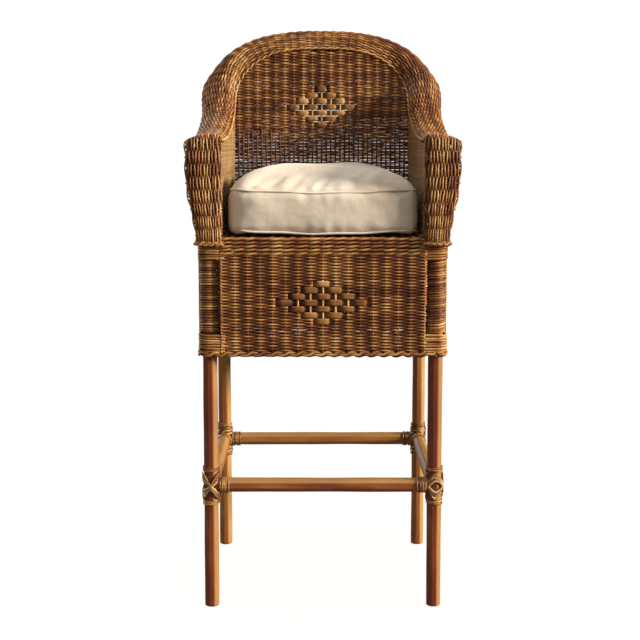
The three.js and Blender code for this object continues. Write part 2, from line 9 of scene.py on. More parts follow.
import bpy
import numpy as np
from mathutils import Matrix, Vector

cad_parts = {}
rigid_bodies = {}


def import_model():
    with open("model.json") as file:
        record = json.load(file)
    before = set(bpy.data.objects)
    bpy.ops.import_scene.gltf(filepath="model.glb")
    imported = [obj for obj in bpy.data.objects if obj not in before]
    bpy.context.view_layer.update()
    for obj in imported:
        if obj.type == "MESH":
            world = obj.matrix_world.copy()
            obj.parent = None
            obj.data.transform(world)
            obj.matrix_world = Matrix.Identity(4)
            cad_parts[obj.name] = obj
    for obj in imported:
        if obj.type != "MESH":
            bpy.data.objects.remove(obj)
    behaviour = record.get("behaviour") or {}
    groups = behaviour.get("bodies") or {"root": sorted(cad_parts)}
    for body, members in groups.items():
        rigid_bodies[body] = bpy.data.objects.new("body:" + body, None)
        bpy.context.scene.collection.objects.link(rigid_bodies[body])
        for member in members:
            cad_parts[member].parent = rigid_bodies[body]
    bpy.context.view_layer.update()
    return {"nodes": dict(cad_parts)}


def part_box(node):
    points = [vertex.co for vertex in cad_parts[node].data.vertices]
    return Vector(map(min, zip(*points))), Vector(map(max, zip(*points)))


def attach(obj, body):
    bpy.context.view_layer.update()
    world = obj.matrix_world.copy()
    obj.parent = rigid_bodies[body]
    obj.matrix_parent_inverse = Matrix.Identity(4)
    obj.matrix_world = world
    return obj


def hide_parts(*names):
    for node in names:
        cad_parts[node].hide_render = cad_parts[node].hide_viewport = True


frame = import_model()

MM = 0.001
TAU = 2 * math.pi
random = np.random.default_rng(7)


# ---- The part's dimensions ----
def node_box(node):
    low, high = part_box(node)
    return np.array(low) / MM, np.array(high) / MM


def node_middle(node):
    low, high = node_box(node)
    return (low + high) / 2


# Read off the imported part.
FRONT_LEG = node_middle("front_right_leg")
BACK_LEG = node_middle("back_right_leg")
LEG_X = FRONT_LEG[0]
LEG_Y = (BACK_LEG[1] - FRONT_LEG[1]) / 2
SHIFT_Y = (BACK_LEG[1] + FRONT_LEG[1]) / 2
LEG_R = (node_box("front_right_leg")[1][0] - node_box("front_right_leg")[0][0]) / 2
SEAT = node_box("seat_border")[1][2]
SKIRT_BOTTOM = node_box("skirt_border")[0][2]
BAND_OUT = node_box("seat_border")[1][0] - LEG_X
STRETCHER_Z = node_middle("front_footrest_stretcher")[2]
ARM_X = node_box("right_arm_front")[0][0]

# Repeated from the part's source: the poles, the weave and the gaps beside the legs.
WEAVE = 7.0
STRETCHER_R = 15.0
WRAP_THICK = 3.5
PANEL_GAP = 8.0
PANEL_OUT = BAND_OUT - WEAVE / 2

# The same for the arms.
ARM_THICK = 72.0
ARM_TOP = SEAT + 190.0
ARM_DROP = 15.0
ARM_RISE = 72.0
ARM_POWER = 2.4
ARM_OVERHANG = 2.0
ARM_LEG_GAP = 6.0
ARM_FOOT_GAP = 1.0
ARM_FRONT = -(LEG_Y + BAND_OUT + ARM_OVERHANG)

# The same for the back and its arch.
BACK_HEIGHT = 400.0
BACK_GAP = 0.8
LEAN = 0.07
SPRING = SEAT + 268.0
ARCH_POWER = 2.9
ARCH_SPREAD = 4.0
BACK_Y = LEG_Y + LEG_R + BACK_GAP
BACK_HALF = ARM_X + WEAVE + ARM_LEG_GAP
ARCH_HALF = ARM_X + ARCH_SPREAD
ARCH_RISE = SEAT + BACK_HEIGHT - SPRING

# The same for the rolled rim: its outer edge line, and the domes of its section.
OUTER_POWER = 2.3
OUTER_SPREAD = 84.0
OUTER_HALF = ARM_X + OUTER_SPREAD
RIM_DEPTH = 72.0
REAR_DROP = 37.0
REAR_TUCK = 52.0
CORNER_BACK = 30.0
ARM_DOME = 18.0
BACK_DOME = 50.0
CROWN_DOME = 16.0
FULLNESS = 0.62
SEAM = 4.8


def to_row(points):
    return (np.asarray(points, float) + (0, SHIFT_Y, 0)) * MM


def back_plane(z):
    return BACK_Y + LEAN * (z - SEAT)


RIM_BACK = back_plane(SEAT + BACK_HEIGHT) + RIM_DEPTH
ARM_CORNER = back_plane(SPRING) - CORNER_BACK


def unit(v):
    return v / np.maximum(np.linalg.norm(v, axis=-1, keepdims=True), 1e-9)


def smoothstep(x, low, high):
    t = np.clip((x - low) / (high - low), 0, 1)
    return t * t * (3 - 2 * t)


def length_along(points):
    """The distance along a line of points, at each of them."""
    return np.concatenate([[0], np.cumsum(np.linalg.norm(np.diff(points, axis=0), axis=1))])


def new_object(name, data):
    piece = bpy.data.objects.new(name, data)
    bpy.context.scene.collection.objects.link(piece)
    return piece


def set_smooth(mesh, smooth=True):
    mesh.polygons.foreach_set("use_smooth", np.full(len(mesh.polygons), smooth))


def paired(a, b):
    return np.broadcast_arrays(np.asarray(a, float), np.asarray(b, float))


# ---- The rim's two edge lines, as the part has them ----
def arm_edge(y):
    return ARM_TOP + ARM_RISE * np.maximum(0, (y - ARM_FRONT) / (ARM_CORNER - ARM_FRONT)) ** ARM_POWER


def arch(half, spring, rise, degrees, power=ARCH_POWER):
    a = math.radians(degrees)
    return half * math.cos(a) ** (2 / power), spring + rise * math.sin(a)


def edge_lines():
    inner, outer = [], []
    for share in (0, 0.25, 0.5, 0.74, 0.93):
        y = ARM_FRONT + share * (ARM_CORNER - ARM_FRONT)
        inner.append((ARM_X, y, arm_edge(y)))
        outer.append((ARM_X + ARM_THICK, y, arm_edge(y) - ARM_DROP))
    for degrees in (22, 42, 62, 78):
        x, z = arch(ARCH_HALF, SPRING, ARCH_RISE, degrees)
        inner.append((x, back_plane(z), z))
        x, z = arch(OUTER_HALF, SPRING - ARM_DROP, ARCH_RISE + ARM_DROP - REAR_DROP, degrees,
                    OUTER_POWER)
        outer.append((x, RIM_BACK - REAR_TUCK * math.cos(math.radians(degrees)) ** 2, z))
    top = SEAT + BACK_HEIGHT
    whole = []
    for half, middle in ((inner, (0, back_plane(top), top)), (outer, (0, RIM_BACK, top - REAR_DROP))):
        left = [(-x, y, z) for x, y, z in half]
        whole.append(np.array(left + [middle] + half[::-1]))
    return whole


INNER_POINTS, OUTER_POINTS = edge_lines()


def catmull(points, t):
    """A centripetal Catmull-Rom curve through points, t from 0 to 1 in equal shares."""
    t = np.atleast_1d(np.asarray(t, float))
    last = len(points) - 1
    place = np.clip(t, 0, 1) * last
    index = np.minimum(np.floor(place).astype(int), last - 1)
    w = (place - index)[:, None]
    padded = np.vstack([2 * points[0] - points[1], points, 2 * points[-1] - points[-2]])
    p0, p1, p2, p3 = (padded[index + k] for k in range(4))
    d0, d1, d2 = (np.sum((b - a) ** 2, axis=1)[:, None] ** 0.25
                  for a, b in ((p0, p1), (p1, p2), (p2, p3)))
    m1 = ((p1 - p0) / d0 - (p2 - p0) / (d0 + d1) + (p2 - p1) / d1) * d1
    m2 = ((p2 - p1) / d1 - (p3 - p1) / (d1 + d2) + (p3 - p2) / d2) * d1
    return p1 + m1 * w + (3 * (p2 - p1) - 2 * m1 - m2) * w ** 2 + (2 * (p1 - p2) + m1 + m2) * w ** 3


def rim_point(t, v, depth=0.0):
    """A place on the rim: t from the left arm's front to the right one's, v over the section.
    From -1 to 0 and from 1 to 2, v runs over the seams to the edge lines."""
    t, v = np.broadcast_arrays(np.atleast_1d(np.asarray(t, float)), np.asarray(v, float))
    inner, outer = catmull(INNER_POINTS, t), catmull(OUTER_POINTS, t)
    across = outer - inner
    step = 0.008
    ahead = catmull(INNER_POINTS, t + step) + catmull(OUTER_POINTS, t + step)
    behind = catmull(INNER_POINTS, t - step) + catmull(OUTER_POINTS, t - step)
    up = unit(np.cross(across, ahead - behind))
    up = np.where(up[:, 2:] < 0, -up, up)
    top = SEAT + BACK_HEIGHT
    dome = (ARM_DOME + (BACK_DOME - ARM_DOME) * smoothstep(inner[:, 2], ARM_TOP, top - 25)
            + CROWN_DOME * smoothstep(inner[:, 2], top - 62, top))
    width = np.linalg.norm(across, axis=1)
    lift = np.arcsin((SEAM / dome) ** (1 / FULLNESS))
    turn = (lift + np.clip(v, 0, 1) * (math.pi - 2 * lift)
            + (np.minimum(v, 0) + np.maximum(v - 1, 0)) * lift)
    rise = np.sin(turn) ** FULLNESS * (dome - depth)
    share = depth + (width - 2 * depth) * (1 - np.cos(turn)) / 2
    return inner + unit(across) * share[:, None] + up * rise[:, None]


# ---- Strands: tubes along paths, with what the materials need stored on their points ----
class Strands:
    """Many round or flat strands that become one mesh piece."""

    def __init__(self, sides=6):
        self.sides = sides
        self.rings = []
        self.tone = []
        self.shade = []

    # shade is painted shade for each point of the path: how far the reed material darkens the strand there,
    # standing in for the shade of the strands round it.
    def add(self, path, normal, half_width, half_thick=None, tone=None, shade=0.0):
        path = np.asarray(path, float)
        if len(path) < 2:
            return
        half_thick = half_width if half_thick is None else half_thick
        normal = np.broadcast_to(np.asarray(normal, float), path.shape)
        tangent = unit(np.gradient(path, axis=0))
        side = unit(np.cross(tangent, normal))
        up = np.cross(side, tangent)
        angle = (np.arange(self.sides) + 0.5) * TAU / self.sides
        wide = np.broadcast_to(np.asarray(half_width, float), len(path))[:, None, None]
        thick = np.broadcast_to(np.asarray(half_thick, float), len(path))[:, None, None]
        ring = (path[:, None] + side[:, None] * np.cos(angle)[None, :, None] * wide
                + up[:, None] * np.sin(angle)[None, :, None] * thick)
        self.rings.append(ring)
        self.tone.append(random.random() if tone is None else tone)
        self.shade.append(np.broadcast_to(np.asarray(shade, float), len(path)))

    def build(self, name, material, body, slot, nodes=()):
        s = self.sides
        verts, faces, uvs, tones, shades, alongs = [], [], [], [], [], []
        base = 0
        strips = len(self.rings)
        k = np.arange(s)
        for strip, (ring, tone, shade) in enumerate(zip(self.rings, self.tone, self.shade)):
            n = len(ring)
            verts.append(ring.reshape(-1, 3))
            i = np.arange(n - 1)[:, None]
            a = base + i * s + k
            b = base + i * s + (k + 1) % s
            quads = np.stack([a, b, b + s, a + s], axis=-1).reshape(-1, 4)
            faces.append(quads[:, ::-1])
            length = length_along(ring[:, 0])
            u = 0.004 + 0.98 * length / max(length[-1], 1e-6)
            low, height = (strip + 0.06) / strips, 0.88 / strips
            ua = np.broadcast_to(u[:-1, None], (n - 1, s))
            ub = np.broadcast_to(u[1:, None], (n - 1, s))
            va = np.broadcast_to(low + height * k / s, (n - 1, s))
            vb = np.broadcast_to(low + height * (k + 1) / s, (n - 1, s))
            quad_uv = np.stack([np.stack([ua, va], -1), np.stack([ua, vb], -1),
                                np.stack([ub, vb], -1), np.stack([ub, va], -1)], axis=2)
            uvs.append(quad_uv.reshape(-1, 4, 2)[:, ::-1].reshape(-1, 2))
            for end, (start, flip) in enumerate(((base, False), (base + (n - 1) * s, True))):
                for j in range(0, s - 2, 2):
                    cap = [start, start + j + 1, start + j + 2, start + (j + 3) % s]
                    if flip:
                        cap = cap[::-1]
                    faces.append(np.array([cap]))
                    u0 = 0.987 + 0.006 * end
                    cap_v = low + height * j / s
                    uvs.append(np.array([[u0, cap_v], [u0 + 0.005, cap_v],
                                         [u0 + 0.005, cap_v + 0.8 * height / s],
                                         [u0, cap_v + 0.8 * height / s]]))
            tones.append(np.full(n * s, tone))
            shades.append(np.repeat(shade, s))
            along = np.repeat(length, s) * MM
            around = np.tile(k / s, n)
            alongs.append(np.stack([along, around, np.full(n * s, tone * 9.0)], axis=1))
            base += n * s
        verts = to_row(np.concatenate(verts))
        faces = np.concatenate(faces)
        mesh = bpy.data.meshes.new(name)
        mesh.vertices.add(len(verts))
        mesh.vertices.foreach_set("co", verts.ravel())
        mesh.loops.add(faces.size)
        mesh.loops.foreach_set("vertex_index", faces.ravel().astype(np.int32))
        mesh.polygons.add(len(faces))
        mesh.polygons.foreach_set("loop_start", np.arange(0, faces.size, 4, dtype=np.int32))
        mesh.update(calc_edges=True)
        set_smooth(mesh)
        for attribute, values in (("tone", tones), ("shade", shades)):
            mesh.attributes.new(attribute, "FLOAT", "POINT").data.foreach_set(
                "value", np.concatenate(values).astype(np.float32))
        mesh.attributes.new("strand", "FLOAT_VECTOR", "POINT").data.foreach_set(
            "vector", np.concatenate(alongs).astype(np.float32).ravel())
        layer = mesh.uv_layers.new(name="OFBake")
        layer.data.foreach_set("uv", np.concatenate(uvs).astype(np.float32).ravel())
        mesh.update()
        piece = new_object(name, mesh)
        piece.data.materials.append(material)
        settle(piece, body, nodes)
        return piece


def settle(piece, body, nodes):
    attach(piece, body)
    if nodes:
        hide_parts(*nodes)


# ---- Materials ----
class Nodes:
    """A small helper that adds shader nodes to a new material."""

    def __init__(self, name):
        self.material = bpy.data.materials.new(name)
        self.material.use_nodes = True
        self.tree = self.material.node_tree
        self.shader = self.tree.nodes["Principled BSDF"]

    def add(self, kind, **values):
        node = self.tree.nodes.new(kind)
        for key, value in values.items():
            if key in node.inputs:
                node.inputs[key].default_value = value
            else:
                setattr(node, key, value)
        return node

    def link(self, source, target):
        self.tree.links.new(source, target)

    def attribute(self, name, output="Fac"):
        return self.add("ShaderNodeAttribute", attribute_name=name).outputs[output]

    def noise(self, vector, scale, detail=3.0, roughness=0.55):
        node = self.add("ShaderNodeTexNoise", Scale=scale, Detail=detail, Roughness=roughness)
        self.link(vector, node.inputs["Vector"])
        return node.outputs["Fac"]

    def scaled(self, vector, scale):
        node = self.add("ShaderNodeMapping")
        node.inputs["Scale"].default_value = scale
        self.link(vector, node.inputs["Vector"])
        return node.outputs["Vector"]

    def math(self, operation, a, b=0.0, clamp=False):
        node = self.add("ShaderNodeMath", operation=operation, use_clamp=clamp)
        for socket, value in zip(node.inputs, (a, b)):
            if isinstance(value, (int, float)):
                socket.default_value = value
            else:
                self.link(value, socket)
        return node.outputs[0]

    def ramp(self, factor, stops):
        node = self.add("ShaderNodeValToRGB")
        ramp = node.color_ramp
        while len(ramp.elements) < len(stops):
            ramp.elements.new(0.5)
        for element, (position, colour) in zip(ramp.elements, stops):
            element.position = position
            element.color = (*colour, 1.0)
        self.link(factor, node.inputs["Fac"])
        return node.outputs["Color"]

    def plus(self, a, b):
        return self.math("ADD", a, b)

    def minus(self, a, b, clamp=False):
        return self.math("SUBTRACT", a, b, clamp)

    def times(self, a, b):
        return self.math("MULTIPLY", a, b)

    def place(self):
        return self.add("ShaderNodeTexCoord").outputs["Object"]

    def fixed(self, values):
        """Sets values that are the same all over the surface on the shader's own sockets."""
        for socket, value in values.items():
            self.shader.inputs[socket].default_value = value

    def mix(self, factor, a, b):
        node = self.add("ShaderNodeMix", data_type="RGBA")
        for socket, value in ((node.inputs[0], factor), (node.inputs[6], a), (node.inputs[7], b)):
            if isinstance(value, (int, float)):
                socket.default_value = value
            elif isinstance(value, tuple):
                socket.default_value = (*value, 1.0)
            else:
                self.link(value, socket)
        return node.outputs[2]

    def bump(self, height, strength, distance):
        node = self.add("ShaderNodeBump", Strength=strength, Distance=distance)
        self.link(height, node.inputs["Height"])
        self.link(node.outputs["Normal"], self.shader.inputs["Normal"])


def reed_material(name, colours, gloss):
    """Stained and varnished round reed: each strand has its own tone, and the shade stored on its points is
    painted shade that darkens it where it dips behind a stake or lies in a recess."""
    m = Nodes(name)
    strand = m.attribute("strand", "Vector")
    place = m.place()
    broad = m.noise(place, 16.0, 3.0)
    long = m.noise(m.scaled(place, (34.0, 34.0, 6.0)), 1.0, 2.0)
    blotch = m.times(m.plus(broad, long), 0.5)
    streak = m.noise(m.scaled(strand, (26.0, 5.0, 1.0)), 1.0, 3.0)
    fibre = m.noise(m.scaled(strand, (180.0, 14.0, 1.0)), 1.0, 2.0)
    tone = m.times(m.attribute("tone"), 0.42)
    tone = m.plus(tone, m.times(streak, 0.50))
    tone = m.plus(tone, m.times(m.minus(blotch, 0.5), 1.3))
    # Painted shade: the shade stored on the points darkens the tone.
    tone = m.minus(tone, m.times(m.attribute("shade"), 0.40), clamp=True)
    m.link(m.ramp(tone, colours), m.shader.inputs["Base Color"])
    rough = m.plus(gloss, m.times(fibre, 0.22))
    m.link(rough, m.shader.inputs["Roughness"])
    m.fixed({"Specular IOR Level": 0.30, "Coat Weight": 0.05, "Coat Roughness": 0.3})
    m.bump(fibre, 0.35, 0.0005)
    return m.material


REED_STOPS = [(0.0, (0.070, 0.019, 0.006)), (0.18, (0.135, 0.041, 0.011)),
              (0.38, (0.262, 0.104, 0.025)), (0.60, (0.430, 0.232, 0.070)),
              (0.90, (0.620, 0.460, 0.230))]
reed = reed_material("stained_reed", REED_STOPS, 0.42)
# A paler, less saturated reed, used on the inner arm panels.
pale_reed = reed_material("paler_reed", [(0.0, (0.130, 0.062, 0.022)), (0.35, (0.250, 0.150, 0.062)),
                                         (0.65, (0.340, 0.230, 0.110)), (1.0, (0.460, 0.350, 0.200))], 0.5)
cane = reed_material("flat_cane", [(0.0, (0.045, 0.014, 0.004)), (0.30, (0.190, 0.075, 0.018)),
                                   (0.60, (0.400, 0.215, 0.060)), (1.0, (0.700, 0.540, 0.290))], 0.30)


def build_reed(strands, name, nodes, material=reed):
    strands.build(name, material, "frame", "wicker_reed", nodes)


def pole_material():
    """Varnished rattan poles: reddish brown skin, long grain, paler where the skin is rubbed off, and a
    painted light band, paler and golden, down the side that faces the sun.
    """
    m = Nodes("rattan_pole")
    strand = m.attribute("strand", "Vector")
    place = m.place()
    grain = m.noise(m.scaled(strand, (5.0, 60.0, 1.0)), 1.0, 4.0, 0.6)
    broad = m.noise(m.scaled(strand, (7.0, 3.0, 1.0)), 1.0, 3.0)
    worn = m.noise(m.scaled(strand, (16.0, 9.0, 1.0)), 1.0, 5.0, 0.62)
    flecks = m.noise(place, 230.0, 2.0)
    factor = m.plus(m.times(grain, 0.5), m.times(broad, 0.5))
    factor = m.plus(factor, m.times(m.attribute("tone"), 0.22))
    body = m.ramp(factor, [(0.34, (0.090, 0.015, 0.007)), (0.50, (0.160, 0.029, 0.012)),
                           (0.64, (0.260, 0.080, 0.020)), (0.80, (0.400, 0.200, 0.045))])
    # Painted light: a paler, golden band down one side of each pole, standing in for the sunlit side.
    around = m.add("ShaderNodeSeparateXYZ")
    m.link(strand, around.inputs["Vector"])
    painted_light_band = m.ramp(around.outputs["Y"], [(0.360, (0.0, 0.0, 0.0)), (0.378, (1.0, 1.0, 1.0)),
                                         (0.600, (1.0, 1.0, 1.0)), (0.626, (0.0, 0.0, 0.0))])
    painted_light_colour = m.ramp(factor, [(0.34, (0.230, 0.105, 0.024)), (0.70, (0.350, 0.200, 0.060))])
    body = m.mix(m.times(painted_light_band, 0.8), body, painted_light_colour)
    rubbed = m.ramp(worn, [(0.60, (0.0, 0.0, 0.0)), (0.70, (1.0, 1.0, 1.0))])
    body = m.mix(m.times(rubbed, 0.22), body, (0.440, 0.240, 0.090))
    specks = m.ramp(flecks, [(0.70, (0.0, 0.0, 0.0)), (0.76, (1.0, 1.0, 1.0))])
    body = m.mix(m.times(specks, 0.3), body, (0.560, 0.380, 0.230))
    m.link(body, m.shader.inputs["Base Color"])
    m.link(m.plus(0.32, m.times(worn, 0.25)), m.shader.inputs["Roughness"])
    m.fixed({"Specular IOR Level": 0.3, "Coat Weight": 0.1, "Coat Roughness": 0.25})
    m.bump(grain, 0.25, 0.0008)
    return m.material


pole = pole_material()


def cover_material():
    """Cream canvas: a plain weave fine enough to show only up close, slightly marked."""
    m = Nodes("cushion_cover")
    place = m.place()
    waves = [m.add("ShaderNodeTexWave", wave_type="BANDS", bands_direction=axis, Scale=400.0,
                   Distortion=1.5, Detail=1.0) for axis in "XYZ"]
    for wave in waves:
        m.link(place, wave.inputs["Vector"])
    threads = m.plus(waves[0].outputs["Fac"], waves[1].outputs["Fac"])
    threads = m.times(m.plus(threads, waves[2].outputs["Fac"]), 0.33)
    soil = m.noise(place, 9.0, 5.0, 0.6)
    slub = m.noise(place, 420.0, 2.0)
    base = m.ramp(soil, [(0.32, (0.500, 0.410, 0.310)), (0.56, (0.650, 0.590, 0.505))])
    base = m.mix(m.times(slub, 0.20), base, (0.560, 0.450, 0.320))
    m.link(base, m.shader.inputs["Base Color"])
    m.link(m.plus(0.84, m.times(threads, 0.1)), m.shader.inputs["Roughness"])
    m.fixed({"Sheen Weight": 0.25, "Sheen Roughness": 0.5})
    m.bump(m.plus(threads, m.times(slub, 0.8)), 0.35, 0.0004)
    crumple = m.noise(m.scaled(place, (17.0, 9.0, 20.0)), 1.0, 2.5, 0.5)
    wrinkles = m.add("ShaderNodeBump", Strength=0.45, Distance=0.007)
    m.link(crumple, wrinkles.inputs["Height"])
    fine = m.shader.inputs["Normal"].links[0].from_node
    m.link(wrinkles.outputs["Normal"], fine.inputs["Normal"])
    return m.material


cover = cover_material()


def steel_material():
    m = Nodes("screw_steel")
    place = m.place()
    scuff = m.noise(place, 300.0, 2.0)
    m.link(m.ramp(scuff, [(0.3, (0.35, 0.34, 0.33)), (0.7, (0.60, 0.60, 0.60))]),
           m.shader.inputs["Base Color"])
    m.fixed({"Metallic": 1.0})
    m.link(m.plus(0.25, m.times(scuff, 0.3)), m.shader.inputs["Roughness"])
    return m.material


steel = steel_material()


# ---- Poles ----
def pole_piece(name, start, end, radius, nodes, tone, painted_light_degrees, round_ends=False):
    """A rattan pole: round, with the eight soft flats that its planing left. The argument after tone
    gives the place round it, in degrees, of the band of painted light that stands in for sunlight on that
    side."""
    sides, flats = 32, 8
    flat_turn = TAU / flats
    start, end = np.array(start, float), np.array(end, float)
    length = np.linalg.norm(end - start)
    rings = max(6, int(length / 14))
    share = np.linspace(0, 1, rings)
    axis = (end - start) / length
    helper = np.array((0, 0, 1.0)) if abs(axis[2]) < 0.9 else np.array((0, 1.0, 0))
    side = np.cross(axis, helper)
    side /= np.linalg.norm(side)
    up = np.cross(side, axis)
    angle = (np.arange(sides) + 0.5) * TAU / sides + math.radians(painted_light_degrees - 180)
    fold = np.mod(angle + flat_turn / 2, flat_turn) - flat_turn / 2
    octagon = math.cos(flat_turn / 2) / np.cos(fold)
    profile = radius * (0.92 * octagon + 0.08 * 0.985)
    seed = random.random(3) * 100
    wobble = 1 + 0.012 * np.sin(share * length / 47 + seed[0]) + 0.010 * np.sin(share * length / 23 + seed[1])
    if round_ends:
        wobble = np.concatenate([[0.86], [0.97], wobble, [0.97], [0.86]])
        share = np.concatenate([[0, 1.2 / length], share * (1 - 10 / length) + 5 / length,
                                [1 - 1.2 / length, 1]])
    drift = np.stack([np.sin(share * length / 190 + seed[2]), np.cos(share * length / 230 + seed[0])], 1)
    centre = start + axis * (share * length)[:, None]
    centre = centre + (side * drift[:, :1] + up * drift[:, 1:]) * 0.5
    ring = (centre[:, None] + side * (np.cos(angle) * profile)[None, :, None] * wobble[:, None, None]
            + up * (np.sin(angle) * profile)[None, :, None] * wobble[:, None, None])
    strands = Strands(sides)
    strands.rings.append(ring)
    strands.tone.append(tone)
    strands.shade.append(np.zeros(len(ring)))
    piece = strands.build(name, pole, "frame", "rattan_pole", nodes)
    set_smooth(piece.data, False)


CORNERS = [("front_left", -1, -1), ("front_right", 1, -1), ("back_left", -1, 1), ("back_right", 1, 1)]
for corner, sx, sy in CORNERS:
    node = corner + "_leg"
    top = node_box(node)[1][2]
    pole_piece(node + "_pole", (sx * LEG_X, sy * LEG_Y, 0), (sx * LEG_X, sy * LEG_Y, top),
               LEG_R, [node], 0.85 if sy > 0 else 0.05, 202.5, round_ends=True)
END_GAP = 8.0
for name, node, sx, sy, tone in (
        ("front_footrest_pole", "front_footrest_stretcher", 0, -1, 0.35),
        ("back_stretcher_pole", "back_stretcher", 0, 1, 0.85),
        ("left_stretcher_pole", "left_stretcher", -1, 0, 0.6),
        ("right_stretcher_pole", "right_stretcher", 1, 0, 0.6)):
    centre = np.array((sx * LEG_X, sy * LEG_Y, STRETCHER_Z))
    half = np.array((0 if sx else LEG_X - END_GAP, 0 if sy else LEG_Y - END_GAP, 0))
    pole_piece(name, centre - half, centre + half, STRETCHER_R, [node], tone, 67.5)


# ---- Weaving ----
def over_under(q, sign, squareness=0.8):
    wave = np.cos(np.pi * q) * sign
    return np.sign(wave) * np.abs(wave) ** squareness


def weave_rows(strands, surface, rows, first, pitch, spans, radius, swing, per=5, thick=None,
               one_sign=None, tones=None, loose=0.16, squareness=2.0, painted_shade_strength=1.0):
    """Adds weavers: each row goes over one stake and under the next. rows are the heights of the
    rows; stakes stand at first + pitch * k; spans(row height) gives the row's stretches. Rows
    start over and under by turns, or all as one_sign says. loose is how far they stray. The last
    argument scales the painted shade laid where a weaver runs level with or behind the stakes."""
    for number, height in enumerate(rows):
        sign = (1 if number % 2 else -1) if one_sign is None else one_sign
        for low, high in spans(height):
            q0, q1 = (low - first) / pitch, (high - first) / pitch
            if q1 - q0 < 0.6:
                continue
            steps = np.arange(math.ceil((q0 + 0.06) * per), math.floor((q1 - 0.06) * per) + 1) / per
            q = np.concatenate([[q0], steps, [q1]])
            seed = random.random(3) * 50
            slack = loose(height) if callable(loose) else loose
            stray = slack * (np.sin(q * 0.9 + seed[0]) + 0.7 * np.sin(q * 2.3 + seed[1])
                             + 0.8 * np.sin(q * 5.1 + seed[2]))
            along = first + q * pitch
            across = height + stray
            points, normals = surface(along, across)
            wave = over_under(q, sign, squareness)
            path = points + normals * (wave * swing)[:, None]
            # Painted shade: full where the weaver runs level with or behind the stakes, none on the top of
            # its hump over a stake.
            shade = painted_shade_strength * (1 - np.clip(wave, 0, 1) ** 0.8)
            r = radius * random.uniform(0.93, 1.05)
            tone = random.random() if tones is None else tones()
            strands.add(path, normals, r, r if thick is None else thick, tone, shade)


def weave_stakes(strands, surface, places, extent, radius, step=14.0, tone=None, shade=0.75):
    for place in places:
        low, high = extent(place)
        if high - low < 4:
            continue
        across = np.linspace(low, high, max(3, int((high - low) / step) + 1))
        points, normals = surface(np.full(len(across), float(place)), across)
        # Stakes carry painted shade, 0.75 unless given, as they lie behind the weavers.
        strands.add(points, normals, radius, radius,
                    random.random() * 0.5 + 0.1 if tone is None else tone, shade)


def plane(origin, along, across, normal):
    origin, along, across, normal = (np.array(v, float) for v in (origin, along, across, normal))

    def surface(a, b):
        a, b = paired(a, b)
        points = origin + along * a[:, None] + across * b[:, None]
        return points, np.broadcast_to(unit(normal), points.shape)

    return surface


def bent(place):
    """A surface from place(a, b), with its normals found by differences."""
    delta = 1.5

    def surface(a, b):
        a, b = paired(a, b)
        points = place(a, b)
        da = place(a + delta, b) - place(a - delta, b)
        db = place(a, b + delta) - place(a, b - delta)
        return points, unit(np.cross(da, db))

    return surface


def rope(strands, centre, normal, count, strand_radius, offset, twist, flat=1.0, tone=None):
    """count strands twisted about a centre line, each darkened with painted shade away from its outer crest.
    """
    tangent = unit(np.gradient(centre, axis=0))
    side = unit(np.cross(tangent, normal))
    up = np.cross(side, tangent)
    length = length_along(centre)
    for k in range(count):
        phase = TAU * (length / twist + k / count)
        path = (centre + side * (np.cos(phase) * offset)[:, None]
                + up * (np.sin(phase) * offset * flat)[:, None])
        strands.add(path, normal, strand_radius * random.uniform(0.94, 1.04), None,
                    random.uniform(0.15, 0.8) if tone is None else tone,
                    0.55 - 0.55 * np.sin(phase))


# -- Skirt --
SKIRT_PITCH = 25.0
ROW = 3.1
DIAMOND_Z = SEAT - 132.0
DIAMOND_ROW = 12.6
DIAMOND_REACH = 3
skirt_rows = []
height = SKIRT_BOTTOM + 15
while height < SEAT - 34:
    skirt_rows.append(height)
    height += ROW


def skirt_slack(z):
    return 0.30 if 44 < z - SKIRT_BOTTOM < 60 else 0.1


def around_diamond(z, middle, row_pitch, block_pitch, overlap, reach):
    """A row's stretches out to reach on both sides, cut where the diamond's blocks take its place."""
    row = abs(round((z - middle) / row_pitch))
    if row > DIAMOND_REACH:
        return [(-reach, reach)]
    gap = (DIAMOND_REACH + 1 - row) * block_pitch - overlap
    return [(-reach, -gap), (gap, reach)]


def skirt_panel(name, surface, half, pitch):
    strands = Strands()
    count = int(half // pitch)
    half = count * pitch
    diamond = name == "front"

    def spans(z):
        if diamond:
            return around_diamond(z, DIAMOND_Z, DIAMOND_ROW, pitch, 5, half + 4)
        return [(-half - 4, half + 4)]

    weave_rows(strands, surface, skirt_rows, 0.0, pitch, spans, 1.88, 2.15, thick=2.3,
               loose=skirt_slack if diamond else 0.1)
    weave_stakes(strands, surface, [k * pitch for k in range(-count, count + 1)],
                 lambda place: (SKIRT_BOTTOM + 6, SEAT - 6), 2.0)
    for side in (-1, 1):
        across = np.arange(SKIRT_BOTTOM + 10, SEAT - 30, 1.6)
        centre, normals = surface(np.full(len(across), side * (half + 2.5)), across)
        rope(strands, centre + normals * 1.5, normals, 2, 1.5, 1.3, 11.0)
    build_reed(strands, name + "_skirt_weave", [name + "_skirt_panel"])


def diamond_piece(name, surface, pitch, centre, row_pitch, nodes):
    strands = Strands(8)
    for row in range(-DIAMOND_REACH, DIAMOND_REACH + 1):
        blocks = DIAMOND_REACH + 1 - abs(row)
        weave_rows(strands, surface, [centre + row * row_pitch], 0.0, pitch,
                   lambda z, b=blocks: [(-b * pitch - 1, b * pitch + 1)], row_pitch * 0.535, 2.5, per=8,
                   thick=0.9, one_sign=1 if blocks % 2 else -1, loose=0.05,
                   tones=lambda: random.uniform(0.1, 0.75), squareness=0.35, painted_shade_strength=0.45)
    for k in range(-DIAMOND_REACH, DIAMOND_REACH + 1):
        reach = (DIAMOND_REACH + 1 - abs(k)) * row_pitch - 5
        weave_stakes(strands, surface, [k * pitch], lambda place, r=reach: (centre - r, centre + r),
                     2.2, step=8, tone=1.0, shade=0.0)
    strands.build(name, cane, "frame", "flat_cane", nodes)


